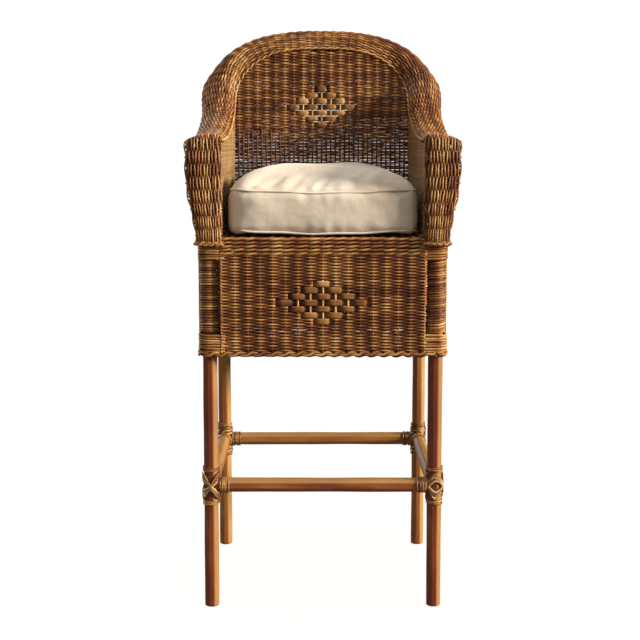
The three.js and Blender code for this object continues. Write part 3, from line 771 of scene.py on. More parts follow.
front_plane = plane((0, -(LEG_Y + PANEL_OUT), 0), (1, 0, 0), (0, 0, 1), (0, -1, 0))
rear_plane = plane((0, LEG_Y + PANEL_OUT, 0), (1, 0, 0), (0, 0, 1), (0, 1, 0))
left_plane = plane((-(LEG_X + PANEL_OUT), 0, 0), (0, 1, 0), (0, 0, 1), (-1, 0, 0))
right_plane = plane((LEG_X + PANEL_OUT, 0, 0), (0, 1, 0), (0, 0, 1), (1, 0, 0))
FRONT_HALF = LEG_X - LEG_R - WRAP_THICK - PANEL_GAP
SIDE_HALF = LEG_Y - LEG_R - WRAP_THICK - PANEL_GAP
SIDE_PITCH = SIDE_HALF / 8
for name, surface, half, pitch in (
        ("front", front_plane, FRONT_HALF, SKIRT_PITCH),
        ("back", rear_plane, FRONT_HALF, SKIRT_PITCH),
        ("left", left_plane, SIDE_HALF + 0.1, SIDE_PITCH),
        ("right", right_plane, SIDE_HALF + 0.1, SIDE_PITCH)):
    skirt_panel(name, surface, half, pitch)
diamond_piece("skirt_diamond_cane", front_plane, SKIRT_PITCH, DIAMOND_Z, DIAMOND_ROW, ["skirt_diamond"])


# -- Ropes and braids --
def resample(points, step):
    length = length_along(points)
    at = np.linspace(0, length[-1], max(3, int(length[-1] / step) + 1))
    return np.stack([np.interp(at, length, points[:, i]) for i in range(3)], axis=1)


def rounded_rectangle(centre_x, centre_y, radius, steps, z=0):
    """A closed line with arcs of that radius round the corner centres at +-centre_x, +-centre_y."""
    points = []
    for cx, cy, start in ((1, -1, -90), (1, 1, 0), (-1, 1, 90), (-1, -1, 180)):
        for degrees in np.linspace(start, start + 90, steps):
            a = math.radians(degrees)
            points.append((cx * centre_x + radius * math.cos(a), cy * centre_y + radius * math.sin(a), z))
    points.append(points[0])
    return np.array(points, float)


def ring_path(offset, z, step):
    """The closed line at one height round the four legs, offset from their centres, and its normals."""
    path = resample(rounded_rectangle(LEG_X, LEG_Y, offset, 10, z), step)
    core = np.stack([np.clip(path[:, 0], -LEG_X, LEG_X), np.clip(path[:, 1], -LEG_Y, LEG_Y),
                     path[:, 2]], axis=1)
    return path, unit(path - core)


border = Strands()
for surface, half in ((front_plane, FRONT_HALF), (rear_plane, FRONT_HALF),
                      (left_plane, SIDE_HALF), (right_plane, SIDE_HALF)):
    for k in range(5):
        along = np.arange(-half - 6, half + 6.1, 4.0)
        across = SEAT - 5 - 7.3 * k + 0.4 * np.sin(along / 37 + k * 2)
        centre, normals = surface(along, across)
        rope(border, centre + normals * 0.6, normals, 2, 2.5, 1.25, 50.0, flat=1.9)


def corner_wraps(strands, low, high, pitch, radius):
    """Reed that ties each wrapped leg to the panels on its two sides."""
    reach = BAND_OUT - 2.2
    for _, sx, sy in CORNERS:
        z = low
        while z < high:
            points = [(LEG_X - LEG_R - 17.5, LEG_Y + PANEL_OUT - 3.5),
                      (LEG_X - LEG_R - 14, LEG_Y + reach - 0.5), (LEG_X - LEG_R - 6, LEG_Y + reach)]
            points += [(LEG_X + reach * math.sin(a), LEG_Y + reach * math.cos(a))
                       for a in np.linspace(0.05, math.pi / 2 - 0.05, 7)]
            points += [(LEG_X + reach, LEG_Y - LEG_R - 6), (LEG_X + reach - 0.5, LEG_Y - LEG_R - 14),
                       (LEG_X + PANEL_OUT - 3.5, LEG_Y - LEG_R - 17.5)]
            flat = np.array([(sx * x, sy * y, 0) for x, y in points])
            seed = random.random(2) * 20
            flat[:, 2] = z + 0.8 * np.sin(np.arange(len(flat)) * 0.5 + seed[0])
            core = np.array([sx * LEG_X, sy * LEG_Y, 0.0])
            outward = flat - core
            outward[:, 2] = 0
            # A light painted shade on each wrap.
            strands.add(flat, unit(outward), radius * random.uniform(0.92, 1.06), None,
                        random.uniform(0.2, 1.0), 0.15)
            z += pitch * random.uniform(0.94, 1.06)


corner_wraps(border, SEAT - 44, SEAT - 3, 5.3, 2.45)
build_reed(border, "seat_border_weave", ["seat_border"])

hem = Strands()
corner_wraps(hem, SKIRT_BOTTOM + 13, SKIRT_BOTTOM + 48, 5.3, 2.45)
path, normals = ring_path(PANEL_OUT, SKIRT_BOTTOM + 7.5, 3.5)
path[:, 2] += 1.4 * np.sin(np.arange(len(path)) * 3.5 * TAU / 25.0)
rope(hem, path, normals, 3, 2.9, 3.2, 75.0)
build_reed(hem, "skirt_hem_braid", ["skirt_border"])


# -- Wraps round the legs, between the borders --
for corner, sx, sy in CORNERS:
    wrap = Strands()
    low, high, pitch = SKIRT_BOTTOM + 48, SEAT - 45, 5.0
    turns = (high - low) / pitch
    angle = np.arange(0, turns * TAU, TAU / 14)
    reach = LEG_R + 2.0
    path = np.stack([sx * LEG_X + reach * np.cos(angle), sy * LEG_Y + reach * np.sin(angle),
                     low + pitch * angle / TAU + 1.5 * np.sin(angle + 0.4) * sx
                     + 0.6 * np.sin(angle * 0.31)], axis=1)
    outward = np.stack([np.cos(angle), np.sin(angle), np.zeros(len(angle))], axis=1)
    for begin in range(0, len(path) - 3, 14):
        turn = slice(begin, begin + 15)
        # Painted shade on each turn, wavering round the leg.
        wrap.add(path[turn], outward[turn], 2.3 * random.uniform(0.88, 1.05), 2.1,
                 random.uniform(0.0, 1.0), 0.2 + 0.2 * np.sin(angle[turn] * 0.71))
    build_reed(wrap, corner + "_leg_wrap_reed", [corner + "_leg_wrap"])


# -- Seat deck --
deck = Strands(4)
deck_plane = plane((0, 0, SEAT - 3.5), (1, 0, 0), (0, 1, 0), (0, 0, 1))
deck_x, deck_y = LEG_X + 13, LEG_Y + 13
notch_x, notch_y = LEG_X - LEG_R - 2, LEG_Y - LEG_R - 2
weave_rows(deck, deck_plane, np.arange(-deck_y, deck_y, 6.4), 0.0, 20.0,
           lambda y: [(-notch_x, notch_x)] if abs(y) > notch_y else [(-deck_x, deck_x)], 2.9, 1.6,
           per=2, thick=0.8)
weave_stakes(deck, deck_plane, [k * 20.0 for k in range(-12, 13)],
             lambda x: (-notch_y, notch_y) if abs(x) > notch_x else (-deck_y, deck_y), 1.8, step=30)
build_reed(deck, "seat_deck_weave", ["seat_deck"])


# -- Back panel --
BACK_PITCH = 21.3
BACK_DIAMOND_Z = SEAT + 266.0
BACK_DIAMOND_ROW = 13.4


def back_place(a, b):
    return np.stack([a, back_plane(b) + WEAVE / 2, b], axis=-1)


def back_surface(a, b):
    a, b = paired(a, b)
    points = back_place(a, b)
    return points, np.broadcast_to(unit(np.array((0, -1, LEAN))), points.shape)


EDGE = catmull(INNER_POINTS, np.linspace(0.5, 1.0, 400))
EDGE = EDGE[EDGE[:, 1] > back_plane(EDGE[:, 2]) - 12]
EDGE = EDGE[np.argsort(EDGE[:, 2])]


def back_reach(z):
    if z < EDGE[0, 2]:
        return BACK_HALF - 4.0
    return float(np.interp(z, EDGE[:, 2], EDGE[:, 0])) + 1.0


def arch_top(x):
    inset = 5.0
    s = min(1.0, abs(x) / (ARCH_HALF - inset))
    return SPRING + (ARCH_RISE - inset) * math.sqrt(1 - s ** ARCH_POWER)


def back_spans(z):
    return around_diamond(z, BACK_DIAMOND_Z, BACK_DIAMOND_ROW, BACK_PITCH, 4, back_reach(z))


def back_openness(z):
    """The weave is open low on the back and close higher up."""
    return 1 - smoothstep(z, SEAT + 130, SEAT + 260)


back_rows = []
height = SEAT + 4
while height < SEAT + BACK_HEIGHT - 6:
    openness = back_openness(height)
    back_rows.append(height + 0.3 * openness * random.uniform(-1, 1))
    height += 3.28 + 0.47 * openness
back = Strands()
weave_rows(back, back_surface, back_rows, 0.0, BACK_PITCH, back_spans,
           2.0, 2.3, thick=2.1, loose=lambda z: 0.1 + 0.14 * back_openness(z))


def back_front(a, b):
    points, normals = back_surface(a, b)
    return points + normals * 3.2, normals


# Darkest tone and full painted shade on the stakes laid in front of the open lower weave, standing in for
# their shade.
weave_stakes(back, back_front, [(k + 0.5) * BACK_PITCH for k in range(-10, 10)],
             lambda x: (SEAT + 1, SEAT + 205 + 14 * math.sin(x / 30)), 2.0, tone=0.0, shade=1.0)
weave_stakes(back, back_front, [k * BACK_PITCH for k in range(-9, 10)],
             lambda x: (SEAT + 1, SEAT + 195 + 18 * math.sin(x / 41)), 1.7, tone=0.0, shade=1.0)
weave_stakes(back, back_surface, [k * BACK_PITCH for k in range(-9, 10)],
             lambda x: (SEAT + 1, arch_top(x) if abs(x) < ARCH_HALF - 8 else SPRING - 20), 2.2)
build_reed(back, "back_panel_weave", ["back_panel"])
diamond_piece("back_diamond_cane", back_surface, BACK_PITCH, BACK_DIAMOND_Z, BACK_DIAMOND_ROW,
              ["back_diamond"])


# -- Arms --
ARM_PITCH = 24.0
RIM_ROW = 3.3


def arm_panel_top(y):
    return arm_edge(y) - SEAM - 2


def inner_arm(name, side):
    strands = Strands()
    surface = plane((side * (ARM_X + WEAVE / 2), 0, 0), (0, 1, 0), (0, 0, 1), (-side, 0, 0))
    ys = np.linspace(ARM_FRONT, ARM_CORNER + 60, 200)
    tops = arm_panel_top(ys)

    def spans(z):
        rear = back_plane(z) - 2
        inside = ys[tops > z]
        front = ARM_FRONT + 2 if z < tops[0] else (inside[0] if len(inside) else rear)
        return [(front, rear)]

    top = float(arm_panel_top(back_plane(SEAT + 250)))
    weave_rows(strands, surface, np.arange(SEAT + 3, top, ROW), ARM_FRONT + 8, ARM_PITCH, spans, 1.7, 1.9,
               thick=1.8, tones=lambda: random.uniform(0.3, 1.0), painted_shade_strength=0.8)
    weave_stakes(strands, surface, np.arange(ARM_FRONT + 8, BACK_Y + 14, ARM_PITCH),
                 lambda y: (SEAT + 2, float(arm_panel_top(y))), 1.9)
    build_reed(strands, name + "_inner_arm_weave", [name + "_inner_arm_panel"], pale_reed)


FOOT_X = LEG_X + LEG_R + ARM_FOOT_GAP + WEAVE
FOOT_R = FOOT_X - LEG_X
FOOT_STRAIGHT = LEG_Y - ARM_FRONT
FOOT_TURN = FOOT_R * math.pi / 2
FOOT_RETURN = LEG_X - BACK_HALF - 2
FOOT_LENGTH = FOOT_STRAIGHT + FOOT_TURN + FOOT_RETURN
PANEL_END = 0.333


def outer_foot(along, inset):
    r = FOOT_R - inset
    angle = np.clip((along - FOOT_STRAIGHT) / FOOT_R, 0, math.pi / 2)
    x = LEG_X + r * np.cos(angle)
    y = LEG_Y + r * np.sin(angle)
    x = np.where(along < FOOT_STRAIGHT, FOOT_X - inset, x)
    y = np.where(along < FOOT_STRAIGHT, ARM_FRONT + along, y)
    past = np.maximum(0, along - FOOT_STRAIGHT - FOOT_TURN)
    return x - past, y


def outer_top(along):
    t = 1 - along / FOOT_LENGTH * PANEL_END
    return catmull(OUTER_POINTS, t)[:, 2] - 2 * SEAM


def outer_place(along, z, inset=WEAVE / 2):
    t = 1 - along / FOOT_LENGTH * PANEL_END
    x, y = outer_foot(along, inset)
    edge, inner = catmull(OUTER_POINTS, t), catmull(INNER_POINTS, t)
    inward = inner - edge
    inward[:, 2] = 0
    edge = edge + unit(inward) * inset
    v = np.clip((z - SEAT) / (edge[:, 2] - 2 * SEAM - SEAT), -0.05, 1.05)
    low, high = smoothstep(0.0, -0.12, 0.78), smoothstep(1.0, -0.12, 0.78)
    share = (smoothstep(v, -0.12, 0.78) - low) / (high - low)
    return np.stack([x + (edge[:, 0] - x) * share, y + (edge[:, 1] - y) * share, z], axis=-1)


def outer_arm(name, side):
    strands = Strands()
    mirror = np.array((side, 1.0, 1.0))
    base = bent(outer_place)

    def surface(a, b):
        points, normals = base(a, b)
        outward = np.where(normals[:, :1] + normals[:, 1:2] * 0.4 < 0, -normals, normals)
        return points * mirror, outward * mirror

    line = np.linspace(0, FOOT_LENGTH, 240)
    tops = outer_top(line)

    def spans(z):
        inside = line[tops > z]
        return [(inside[0] - 3, inside[-1])] if len(inside) > 4 else []

    rows = np.arange(SEAT + 3, float(tops.max()), RIM_ROW)
    weave_rows(strands, surface, rows, 8.0, ARM_PITCH, spans, 1.8, 2.2, thick=2.0)
    weave_stakes(strands, surface, np.arange(8.0, FOOT_LENGTH, ARM_PITCH),
                 lambda a: (SEAT + 2, float(outer_top(np.array([a]))[0])), 2.0)
    build_reed(strands, name + "_outer_arm_weave", [name + "_outer_arm_panel"])


# -- Arm fronts --
SHIELD_Y = node_box("right_arm_front")[0][1] - SHIFT_Y
SHIELD_TOP = rim_point(np.full(40, 1.0), np.linspace(0, 1, 40))
SHIELD_TOP = SHIELD_TOP[np.argsort(SHIELD_TOP[:, 0])]


def shield_outer(z):
    inside = np.clip(z, SEAT, outer_top(np.array([0.0]))[0] + 20)
    return outer_place(np.zeros_like(inside), inside, 0.0)[:, 0]


def shield_top(x):
    return np.interp(x, SHIELD_TOP[:, 0], SHIELD_TOP[:, 2])


def arm_front(name, side):
    """Upright reeds over and under flat ribs; at the top they bend back over the rim's front edge."""
    strands = Strands()
    bend = 7.0
    low = SEAT - 19.0
    base = SHIELD_Y + 4.2

    def outer_edge(z):
        return shield_outer(np.minimum(z, ARM_TOP - ARM_DROP))

    def crest(s):
        return shield_top(ARM_X + 1.5 + s * (ARM_THICK - 3.0)) - 1.5

    def surface(run, s):
        run, s = paired(run, s)
        stop = crest(s) - bend
        angle = np.clip((run - stop) / bend, 0, math.pi / 2)
        z = np.minimum(run, stop) + bend * np.sin(angle)
        x = ARM_X + 1.0 + s * (outer_edge(z) - ARM_X - 0.5)
        middle = 2 * s - 1
        y = base + 8.0 * np.abs(middle) ** 6 - 2.0 * (1 - middle ** 2) + bend * (1 - np.cos(angle))
        lean = np.sign(middle) * np.abs(middle) ** 5 * 1.1
        normals = unit(np.stack([side * lean, -np.cos(angle), np.sin(angle)], axis=-1))
        return np.stack([side * x, y, z], axis=-1), normals

    count, pitch, first = 23, 25.5, SEAT + 3.0
    for k in range(count):
        s = (k + 0.5) / count
        high = float(crest(np.array([s]))[0]) - bend + bend * math.pi / 2
        q = np.append(np.arange(math.ceil((low - first) / pitch * 5) / 5, (high - first) / pitch, 0.2),
                      (high - first) / pitch)
        run = first + q * pitch
        points, normals = surface(run, s + 0.009 * np.sin(q * 1.9 + random.random() * 30)
                                  + 0.006 * np.sin(q * 4.3 + k))
        wave = over_under(q, 1 if k % 2 else -1, 0.9)
        ends = np.clip((run - low) / 14, 0.15, 1) * np.clip((high - run) / 10, 0.2, 1)
        path = points + normals * (wave * 2.1 * ends)[:, None]
        # Painted shade where the reed runs level with or behind a rib, none on the top of its hump.
        strands.add(path, normals, 1.8 * random.uniform(0.9, 1.06), None, random.uniform(0.2, 1.1),
                    0.85 * (1 - np.clip(wave, 0, 1) ** 0.7))
    # The flat ribs across: dark tone and painted shade, standing in for the shade they lie in behind the
    # upright reeds.
    across = np.linspace(0, 1, 16)
    for z in np.arange(first, ARM_TOP - 14, pitch):
        points, normals = surface(np.full(16, z), across)
        strands.add(points, normals, 1.8, None, 0.2, 0.9)
    across = np.linspace(-0.02, 1.02, 40)
    foot, normals = surface(np.full(40, low + 5.0), across)
    foot[:, 2] += 1.2 * np.sin(across * 28)
    rope(strands, foot, normals, 3, 2.6, 2.6, 42.0)
    build_reed(strands, name + "_arm_front_weave", [name + "_arm_front"])


for name, side in (("left", -1), ("right", 1)):
    inner_arm(name, side)
    outer_arm(name, side)
    arm_front(name, side)


# -- Rolled rim --
TABLE = np.linspace(0, 1, 900)
COARSE_TABLE = TABLE[::10]
COLUMNS = 60
mid_line = (catmull(INNER_POINTS, TABLE) + catmull(OUTER_POINTS, TABLE)) / 2
mid_length = length_along(mid_line)
RIM_LENGTH = float(mid_length[-1])
SECTION = np.linspace(0, 1, 80)


def section_table():
    """For places along the rim, the share v of the section at equal lengths over it."""
    tables, lengths = [], []
    for t in COARSE_TABLE:
        points = rim_point(np.full(len(SECTION), t), SECTION, WEAVE / 2)
        run = length_along(points)
        tables.append(np.interp(np.linspace(0, 1, COLUMNS), run / run[-1], SECTION))
        lengths.append(run[-1])
    return np.array(tables), np.array(lengths)


SECTION_V, SECTION_LENGTH = section_table()


def rim_place(a, share):
    t = np.interp(a, mid_length, TABLE)
    row = np.interp(t, COARSE_TABLE, np.arange(len(SECTION_V)))
    column = np.clip(share, 0, 1) * (COLUMNS - 1)
    r0 = np.floor(row).astype(int).clip(0, len(SECTION_V) - 2)
    c0 = np.floor(column).astype(int).clip(0, COLUMNS - 2)
    fr, fc = row - r0, column - c0
    v = ((1 - fr) * ((1 - fc) * SECTION_V[r0, c0] + fc * SECTION_V[r0, c0 + 1])
         + fr * ((1 - fc) * SECTION_V[r0 + 1, c0] + fc * SECTION_V[r0 + 1, c0 + 1]))
    return rim_point(t, v, WEAVE / 2)


def rim_surface(a, share):
    a, share = paired(a, share)
    points = rim_place(a, share)
    da = rim_place(np.clip(a + 2, 0, RIM_LENGTH), share) - rim_place(np.clip(a - 2, 0, RIM_LENGTH), share)
    ds = rim_place(a, np.clip(share + 0.015, 0, 1)) - rim_place(a, np.clip(share - 0.015, 0, 1))
    normals = unit(np.cross(da, ds))
    t = np.interp(a, mid_length, TABLE)
    core = (catmull(INNER_POINTS, t) + catmull(OUTER_POINTS, t)) / 2
    flip = np.sum(normals * (points - core), axis=1, keepdims=True) < 0
    return points, np.where(flip, -normals, normals)


def section_length(a):
    return np.interp(np.interp(a, mid_length, TABLE), COARSE_TABLE, SECTION_LENGTH)


RIM_STAKES = 84
RIM_PITCH = RIM_LENGTH / RIM_STAKES
RIM_LINE = np.linspace(0, RIM_LENGTH, 1200)
RIM_WIDTH = section_length(RIM_LINE)


def rim_by_distance(a, distance):
    """The rim's surface with the second coordinate in mm from the inner edge."""
    a, distance = paired(a, distance)
    return rim_surface(a, distance / section_length(a))


def rim_spans(distance):
    """The stretches of the rim that are wide enough to hold a row this far from the inner edge."""
    wide = RIM_WIDTH > distance + 1.2
    edges = np.flatnonzero(np.diff(np.concatenate([[0], wide.astype(int), [0]])))
    return [(RIM_LINE[low] + 1, RIM_LINE[high - 1] - 1)
            for low, high in zip(edges[::2], edges[1::2])]


rim = Strands()
weave_rows(rim, rim_by_distance, np.arange(1.2, RIM_WIDTH.max(), RIM_ROW), RIM_PITCH / 2, RIM_PITCH,
           rim_spans, 1.9, 2.0, per=4, painted_shade_strength=0.7)
liner_t = np.interp(np.linspace(2, RIM_LENGTH - 2, 420), mid_length, TABLE)
liner_core = (catmull(INNER_POINTS, liner_t) + catmull(OUTER_POINTS, liner_t)) / 2
# Liner strands over the seams: dark tone and painted shade.
for v in (-0.35, -0.75, 1.35, 1.75):
    points = rim_point(liner_t, v, WEAVE / 2)
    rim.add(points, unit(points - liner_core), 1.7, None, 0.1, 0.6)
rim_stakes = Strands()
for k in range(RIM_STAKES):
    a = (k + 0.5) * RIM_PITCH
    share = np.linspace(0, 1, 22)
    points, normals = rim_surface(np.full(22, a), share)
    # Painted shade on the stakes, which lie under the rows.
    rim_stakes.add(points, normals, 1.9, None, random.random() * 0.6 + 0.2, 0.75)
build_reed(rim, "rolled_rim_weave", ["rolled_rim"])
build_reed(rim_stakes, "rolled_rim_stakes", ["rolled_rim"])


for name, line, far in (("inner_rim_braid", INNER_POINTS, OUTER_POINTS),
                        ("outer_rim_braid", OUTER_POINTS, INNER_POINTS)):
    t = np.interp(np.linspace(3, RIM_LENGTH - 3, 480), mid_length, TABLE)
    points, opposite = catmull(line, t), catmull(far, t)
    braid = Strands()
    rope(braid, points, unit(points - opposite), 2, 1.9, 1.6, 34.0, tone=0.9)
    build_reed(braid, name + "_reed", [name])


# ---- Cane bindings over the stretcher joints ----
# How high a strip runs at each place round the leg, from the side away from the cross stretcher
# (-180) past the outer face (-90) and the cross stretcher (0) to the side one (90).
CROSS_BIND = ((-180, -135, -90, -45, 0, 90, 135, 180), (-0.85, -0.8, 0.0, 0.85, 1.0, 1.0, 0.0, -0.85))
DIAMOND_BIND = ((-180, -150, -90, -40, 0, 90, 140, 180), (-0.6, 0.0, 1.0, 0.0, -0.95, -1.0, -0.95, -0.6))
for corner, sx, sy in CORNERS:
    bind = Strands(8)
    centre = np.array((sx * LEG_X, sy * LEG_Y, STRETCHER_Z))
    turn = np.linspace(-180, 180, 61)
    angle = np.radians(turn)
    radial = np.stack([-sx * np.cos(angle), -sy * np.sin(angle), np.zeros(61)], axis=1)
    turns, heights = DIAMOND_BIND if corner == "front_right" else CROSS_BIND
    course = np.interp(turn, turns, heights)
    course = np.convolve(np.pad(course[:-1], 3, mode="wrap"), np.ones(7) / 7, mode="valid")
    course = np.append(course, course[0])
    # Strips and rings below carry a light painted shade: 0.1 on the crossing strips, 0.2 on the rings.
    for level, rise in enumerate((13.0, 16.6, 20.2, 23.8, 27.4, 31.0)):
        for sign in (1, -1):
            path = centre + radial * (LEG_R + 1.5 + 1.5 * np.exp(-(course * 2.2) ** 2)
                                      + (0.8 if (sign > 0) == (level % 2 == 0) else 0.0))[:, None]
            path[:, 2] += sign * (rise * course + 2.2 * np.sin(angle * 2 + level))
            bind.add(path, radial, 1.7, 0.85, (0.1, 1.25, 0.5)[(level + (sign > 0)) % 3], 0.1)
    for z in (-36.5, -32.6, 32.6, 36.5):
        path = centre + radial * (LEG_R + 1.0)
        path[:, 2] += z + 1.2 * np.sin(angle + z)
        bind.add(path, radial, 1.9, 0.8, random.uniform(0.1, 1.0), 0.2)
    for axis, sign in ((0, -sx), (1, -sy)):
        for distance in (19.5, 23.3, 27.1, 30.9, 34.7):
            ring = np.zeros((61, 3))
            ring[:, 1 - axis] = np.cos(angle)
            ring[:, 2] = np.sin(angle)
            path = centre + ring * (STRETCHER_R + 1.0)
            path[:, axis] += sign * (distance + 1.2 * np.cos(angle + distance))
            bind.add(path, ring, 1.9, 0.8, random.uniform(0.1, 1.0), 0.2)
    bind.build(corner + "_joint_cane", cane, "frame", "flat_cane", [corner + "_joint_binding"])


# ---- Cushion ----
cushion_low, cushion_high = node_box("cushion")
cushion_mid = (cushion_low + cushion_high) / 2 - (0, SHIFT_Y, 0)
HALF_W = (cushion_high[0] - cushion_low[0]) / 2
HALF_D = (cushion_high[1] - cushion_low[1]) / 2
SEAM_LOW = node_middle("cushion_bottom_piping")[2]
SEAM_HIGH = node_middle("cushion_top_piping")[2]
CROWN = cushion_high[2]
CORNER_R = 34.0


def cushion_outline(half_x, half_y, count):
    """count points round a rounded rectangle of those half sizes."""
    path = resample(rounded_rectangle(half_x - CORNER_R, half_y - CORNER_R, CORNER_R, 12), 1.0)
    index = np.linspace(0, len(path) - 1, count + 1)[:-1]
    return np.stack([np.interp(index, np.arange(len(path)), path[:, i]) for i in range(2)], axis=1)


def seam_line(height, grow, count=240):
    """A seam of the cushion, drooping a little between its corners, with its outward normals."""
    outline = cushion_outline(HALF_W + grow, HALF_D + grow, count)
    x, y = outline[:, 0] / HALF_W, outline[:, 1] / HALF_D
    corner = np.abs(x * y) ** 1.5
    ripple = 0.7 * np.sin(outline[:, 0] / 17) + 0.5 * np.sin(outline[:, 1] / 13 + 1)
    z = height + 7.5 * corner - 2.5 + ripple
    pull = 1.4 * np.sin(np.arange(count) * TAU / count * 9) * (1 - corner)
    outward = unit(np.stack([x ** 5, y ** 5, np.zeros(count)], axis=1))
    points = np.stack([outline[:, 0], outline[:, 1], z], axis=1) + outward * pull[:, None] * 0.6
    points[:, :2] += cushion_mid[:2]
    return points, outward


def cushion_mesh():
    """The cushion before it is stuffed: a box with rounded corners and a low crown."""
    count = 120
    shrink = 1.0
    rings = []
    top = seam_line(SEAM_HIGH, -shrink, count)[0]
    low = seam_line(SEAM_LOW, -shrink, count)[0]
    low[:, 2] = SEAM_LOW + (low[:, 2] - SEAM_LOW) * 0.2
    middle = np.array((*cushion_mid[:2], 0))
    for share in (0.12, 0.35, 0.6, 0.8, 0.93):
        ring = low.copy()
        ring[:, :2] = middle[:2] + (low[:, :2] - middle[:2]) * share
        ring[:, 2] = SEAM_LOW - 2.2 + 2.0 * share ** 6
        rings.append(ring)
    for share in np.linspace(0, 1, 8):
        rings.append(low * (1 - share) + top * share)
    for share in (0.985, 0.95, 0.90, 0.83, 0.72, 0.54, 0.34, 0.12):
        ring = top.copy()
        ring[:, :2] = middle[:2] + (top[:, :2] - middle[:2]) * share
        crown = (CROWN - SEAM_HIGH - 9) * (1 - share ** 6) ** 0.7
        ring[:, 2] = top[:, 2] * share + SEAM_HIGH * (1 - share) + crown
        rings.append(ring)
    verts = np.concatenate(rings)
    faces = []
    for r in range(len(rings) - 1):
        for k in range(count):
            a, b = r * count + k, r * count + (k + 1) % count
            faces.append((a, b, b + count, a + count))
    faces.append(tuple(range(count))[::-1])
    faces.append(tuple((len(rings) - 1) * count + k for k in range(count)))
    mesh = bpy.data.meshes.new("cushion_body")
    mesh.from_pydata([tuple(p) for p in to_row(verts)], [], faces)
    mesh.update()
    return mesh


def add_modifier(piece, kind, **settings):
    modifier = piece.modifiers.new(kind.lower(), kind)
    for key, value in settings.items():
        setattr(modifier, key, value)


def apply_all(piece):
    graph = bpy.context.evaluated_depsgraph_get()
    baked = bpy.data.meshes.new_from_object(piece.evaluated_get(graph))
    piece.modifiers.clear()
    piece.data = baked


def coords(mesh):
    data = np.empty(len(mesh.vertices) * 3, np.float32)
    mesh.vertices.foreach_get("co", data)
    return data.reshape(-1, 3).astype(float)


def set_coords(mesh, points):
    mesh.vertices.foreach_set("co", points.astype(np.float32).ravel())
    mesh.update()


cushion = new_object("cushion_soft", cushion_mesh())
add_modifier(cushion, "REMESH", mode="VOXEL", voxel_size=0.0055)
apply_all(cushion)


def from_middle(mm):
    """The front-to-back place of points in the row frame, in mm from the cushion's middle."""
    return mm[:, 1] - SHIFT_Y - cushion_mid[1]


def seam_distance(points):
    """How far each point is from the top seam and from the bottom one, in mm."""
    mm = points / MM
    inset = np.minimum(HALF_W - np.abs(mm[:, 0]), HALF_D - np.abs(from_middle(mm)))
    inset = np.maximum(inset, 0)
    return np.hypot(inset, mm[:, 2] - SEAM_HIGH), np.hypot(inset, mm[:, 2] - SEAM_LOW)


CLOTH = {"quality": 6, "mass": 0.3, "use_pressure": True, "uniform_pressure_force": 1.8,
         "tension_stiffness": 12, "compression_stiffness": 6, "shear_stiffness": 5,
         "bending_stiffness": 0.4, "vertex_group_mass": "pins"}
PIN_REACH = 9.0
TOP_LIMIT, SIDE_LIMIT = 0.010, 0.006


def stuff(piece):
    """Blows the cushion up by cloth simulation, held at its seams and underside."""
    start = coords(piece.data)
    top, low = seam_distance(start)
    pins = np.clip(1.0 - np.minimum(top, low) / PIN_REACH, 0, 1)
    under = np.where(start[:, 2] / MM < SEAM_LOW, 1.0, 0.0)
    weights = np.maximum(pins, under)
    group = piece.vertex_groups.new(name="pins")
    for index in np.nonzero(weights > 0.02)[0]:
        group.add([int(index)], float(weights[index]), "REPLACE")
    cloth = piece.modifiers.new("cloth", "CLOTH")
    for key, value in CLOTH.items():
        setattr(cloth.settings, key, value)
    cloth.settings.effector_weights.gravity = 0
    cloth.collision_settings.use_self_collision = False
    cloth.point_cache.frame_start, cloth.point_cache.frame_end = 1, 24
    for number in range(1, 21):
        bpy.context.scene.frame_set(number)
    apply_all(piece)
    bpy.context.scene.frame_set(1)
    move = coords(piece.data) - start
    size = np.linalg.norm(move, axis=1, keepdims=True)
    limit = np.where(start[:, 2:] / MM > SEAM_HIGH, TOP_LIMIT, SIDE_LIMIT)
    set_coords(piece.data, start + move * np.minimum(1, limit / np.maximum(size, 1e-9)))
    piece.vertex_groups.clear()


stuff(cushion)

# Each fold in the top: where it leaves the front seam, its slope, its reach, width and depth.
FOLDS = ((-128, 0.55, 75, 8, 1.8), (-108, 0.75, 100, 9, -2.6), (-86, 0.5, 60, 7, 1.8),
         (-58, 0.3, 90, 9, -3.0), (-30, 0.75, 130, 10, 2.2), (-8, 0.6, 160, 10, -3.2),
         (28, 0.9, 180, 12, 2.2), (60, 0.7, 150, 10, -2.9), (88, 0.5, 120, 11, 1.9),
         (118, 0.2, 80, 10, -2.2), (140, -0.2, 60, 9, 1.8))
PUCKER, GROOVE, BAND_BULGE, LUMP = 0.8, -0.5, 4.5, 1.8


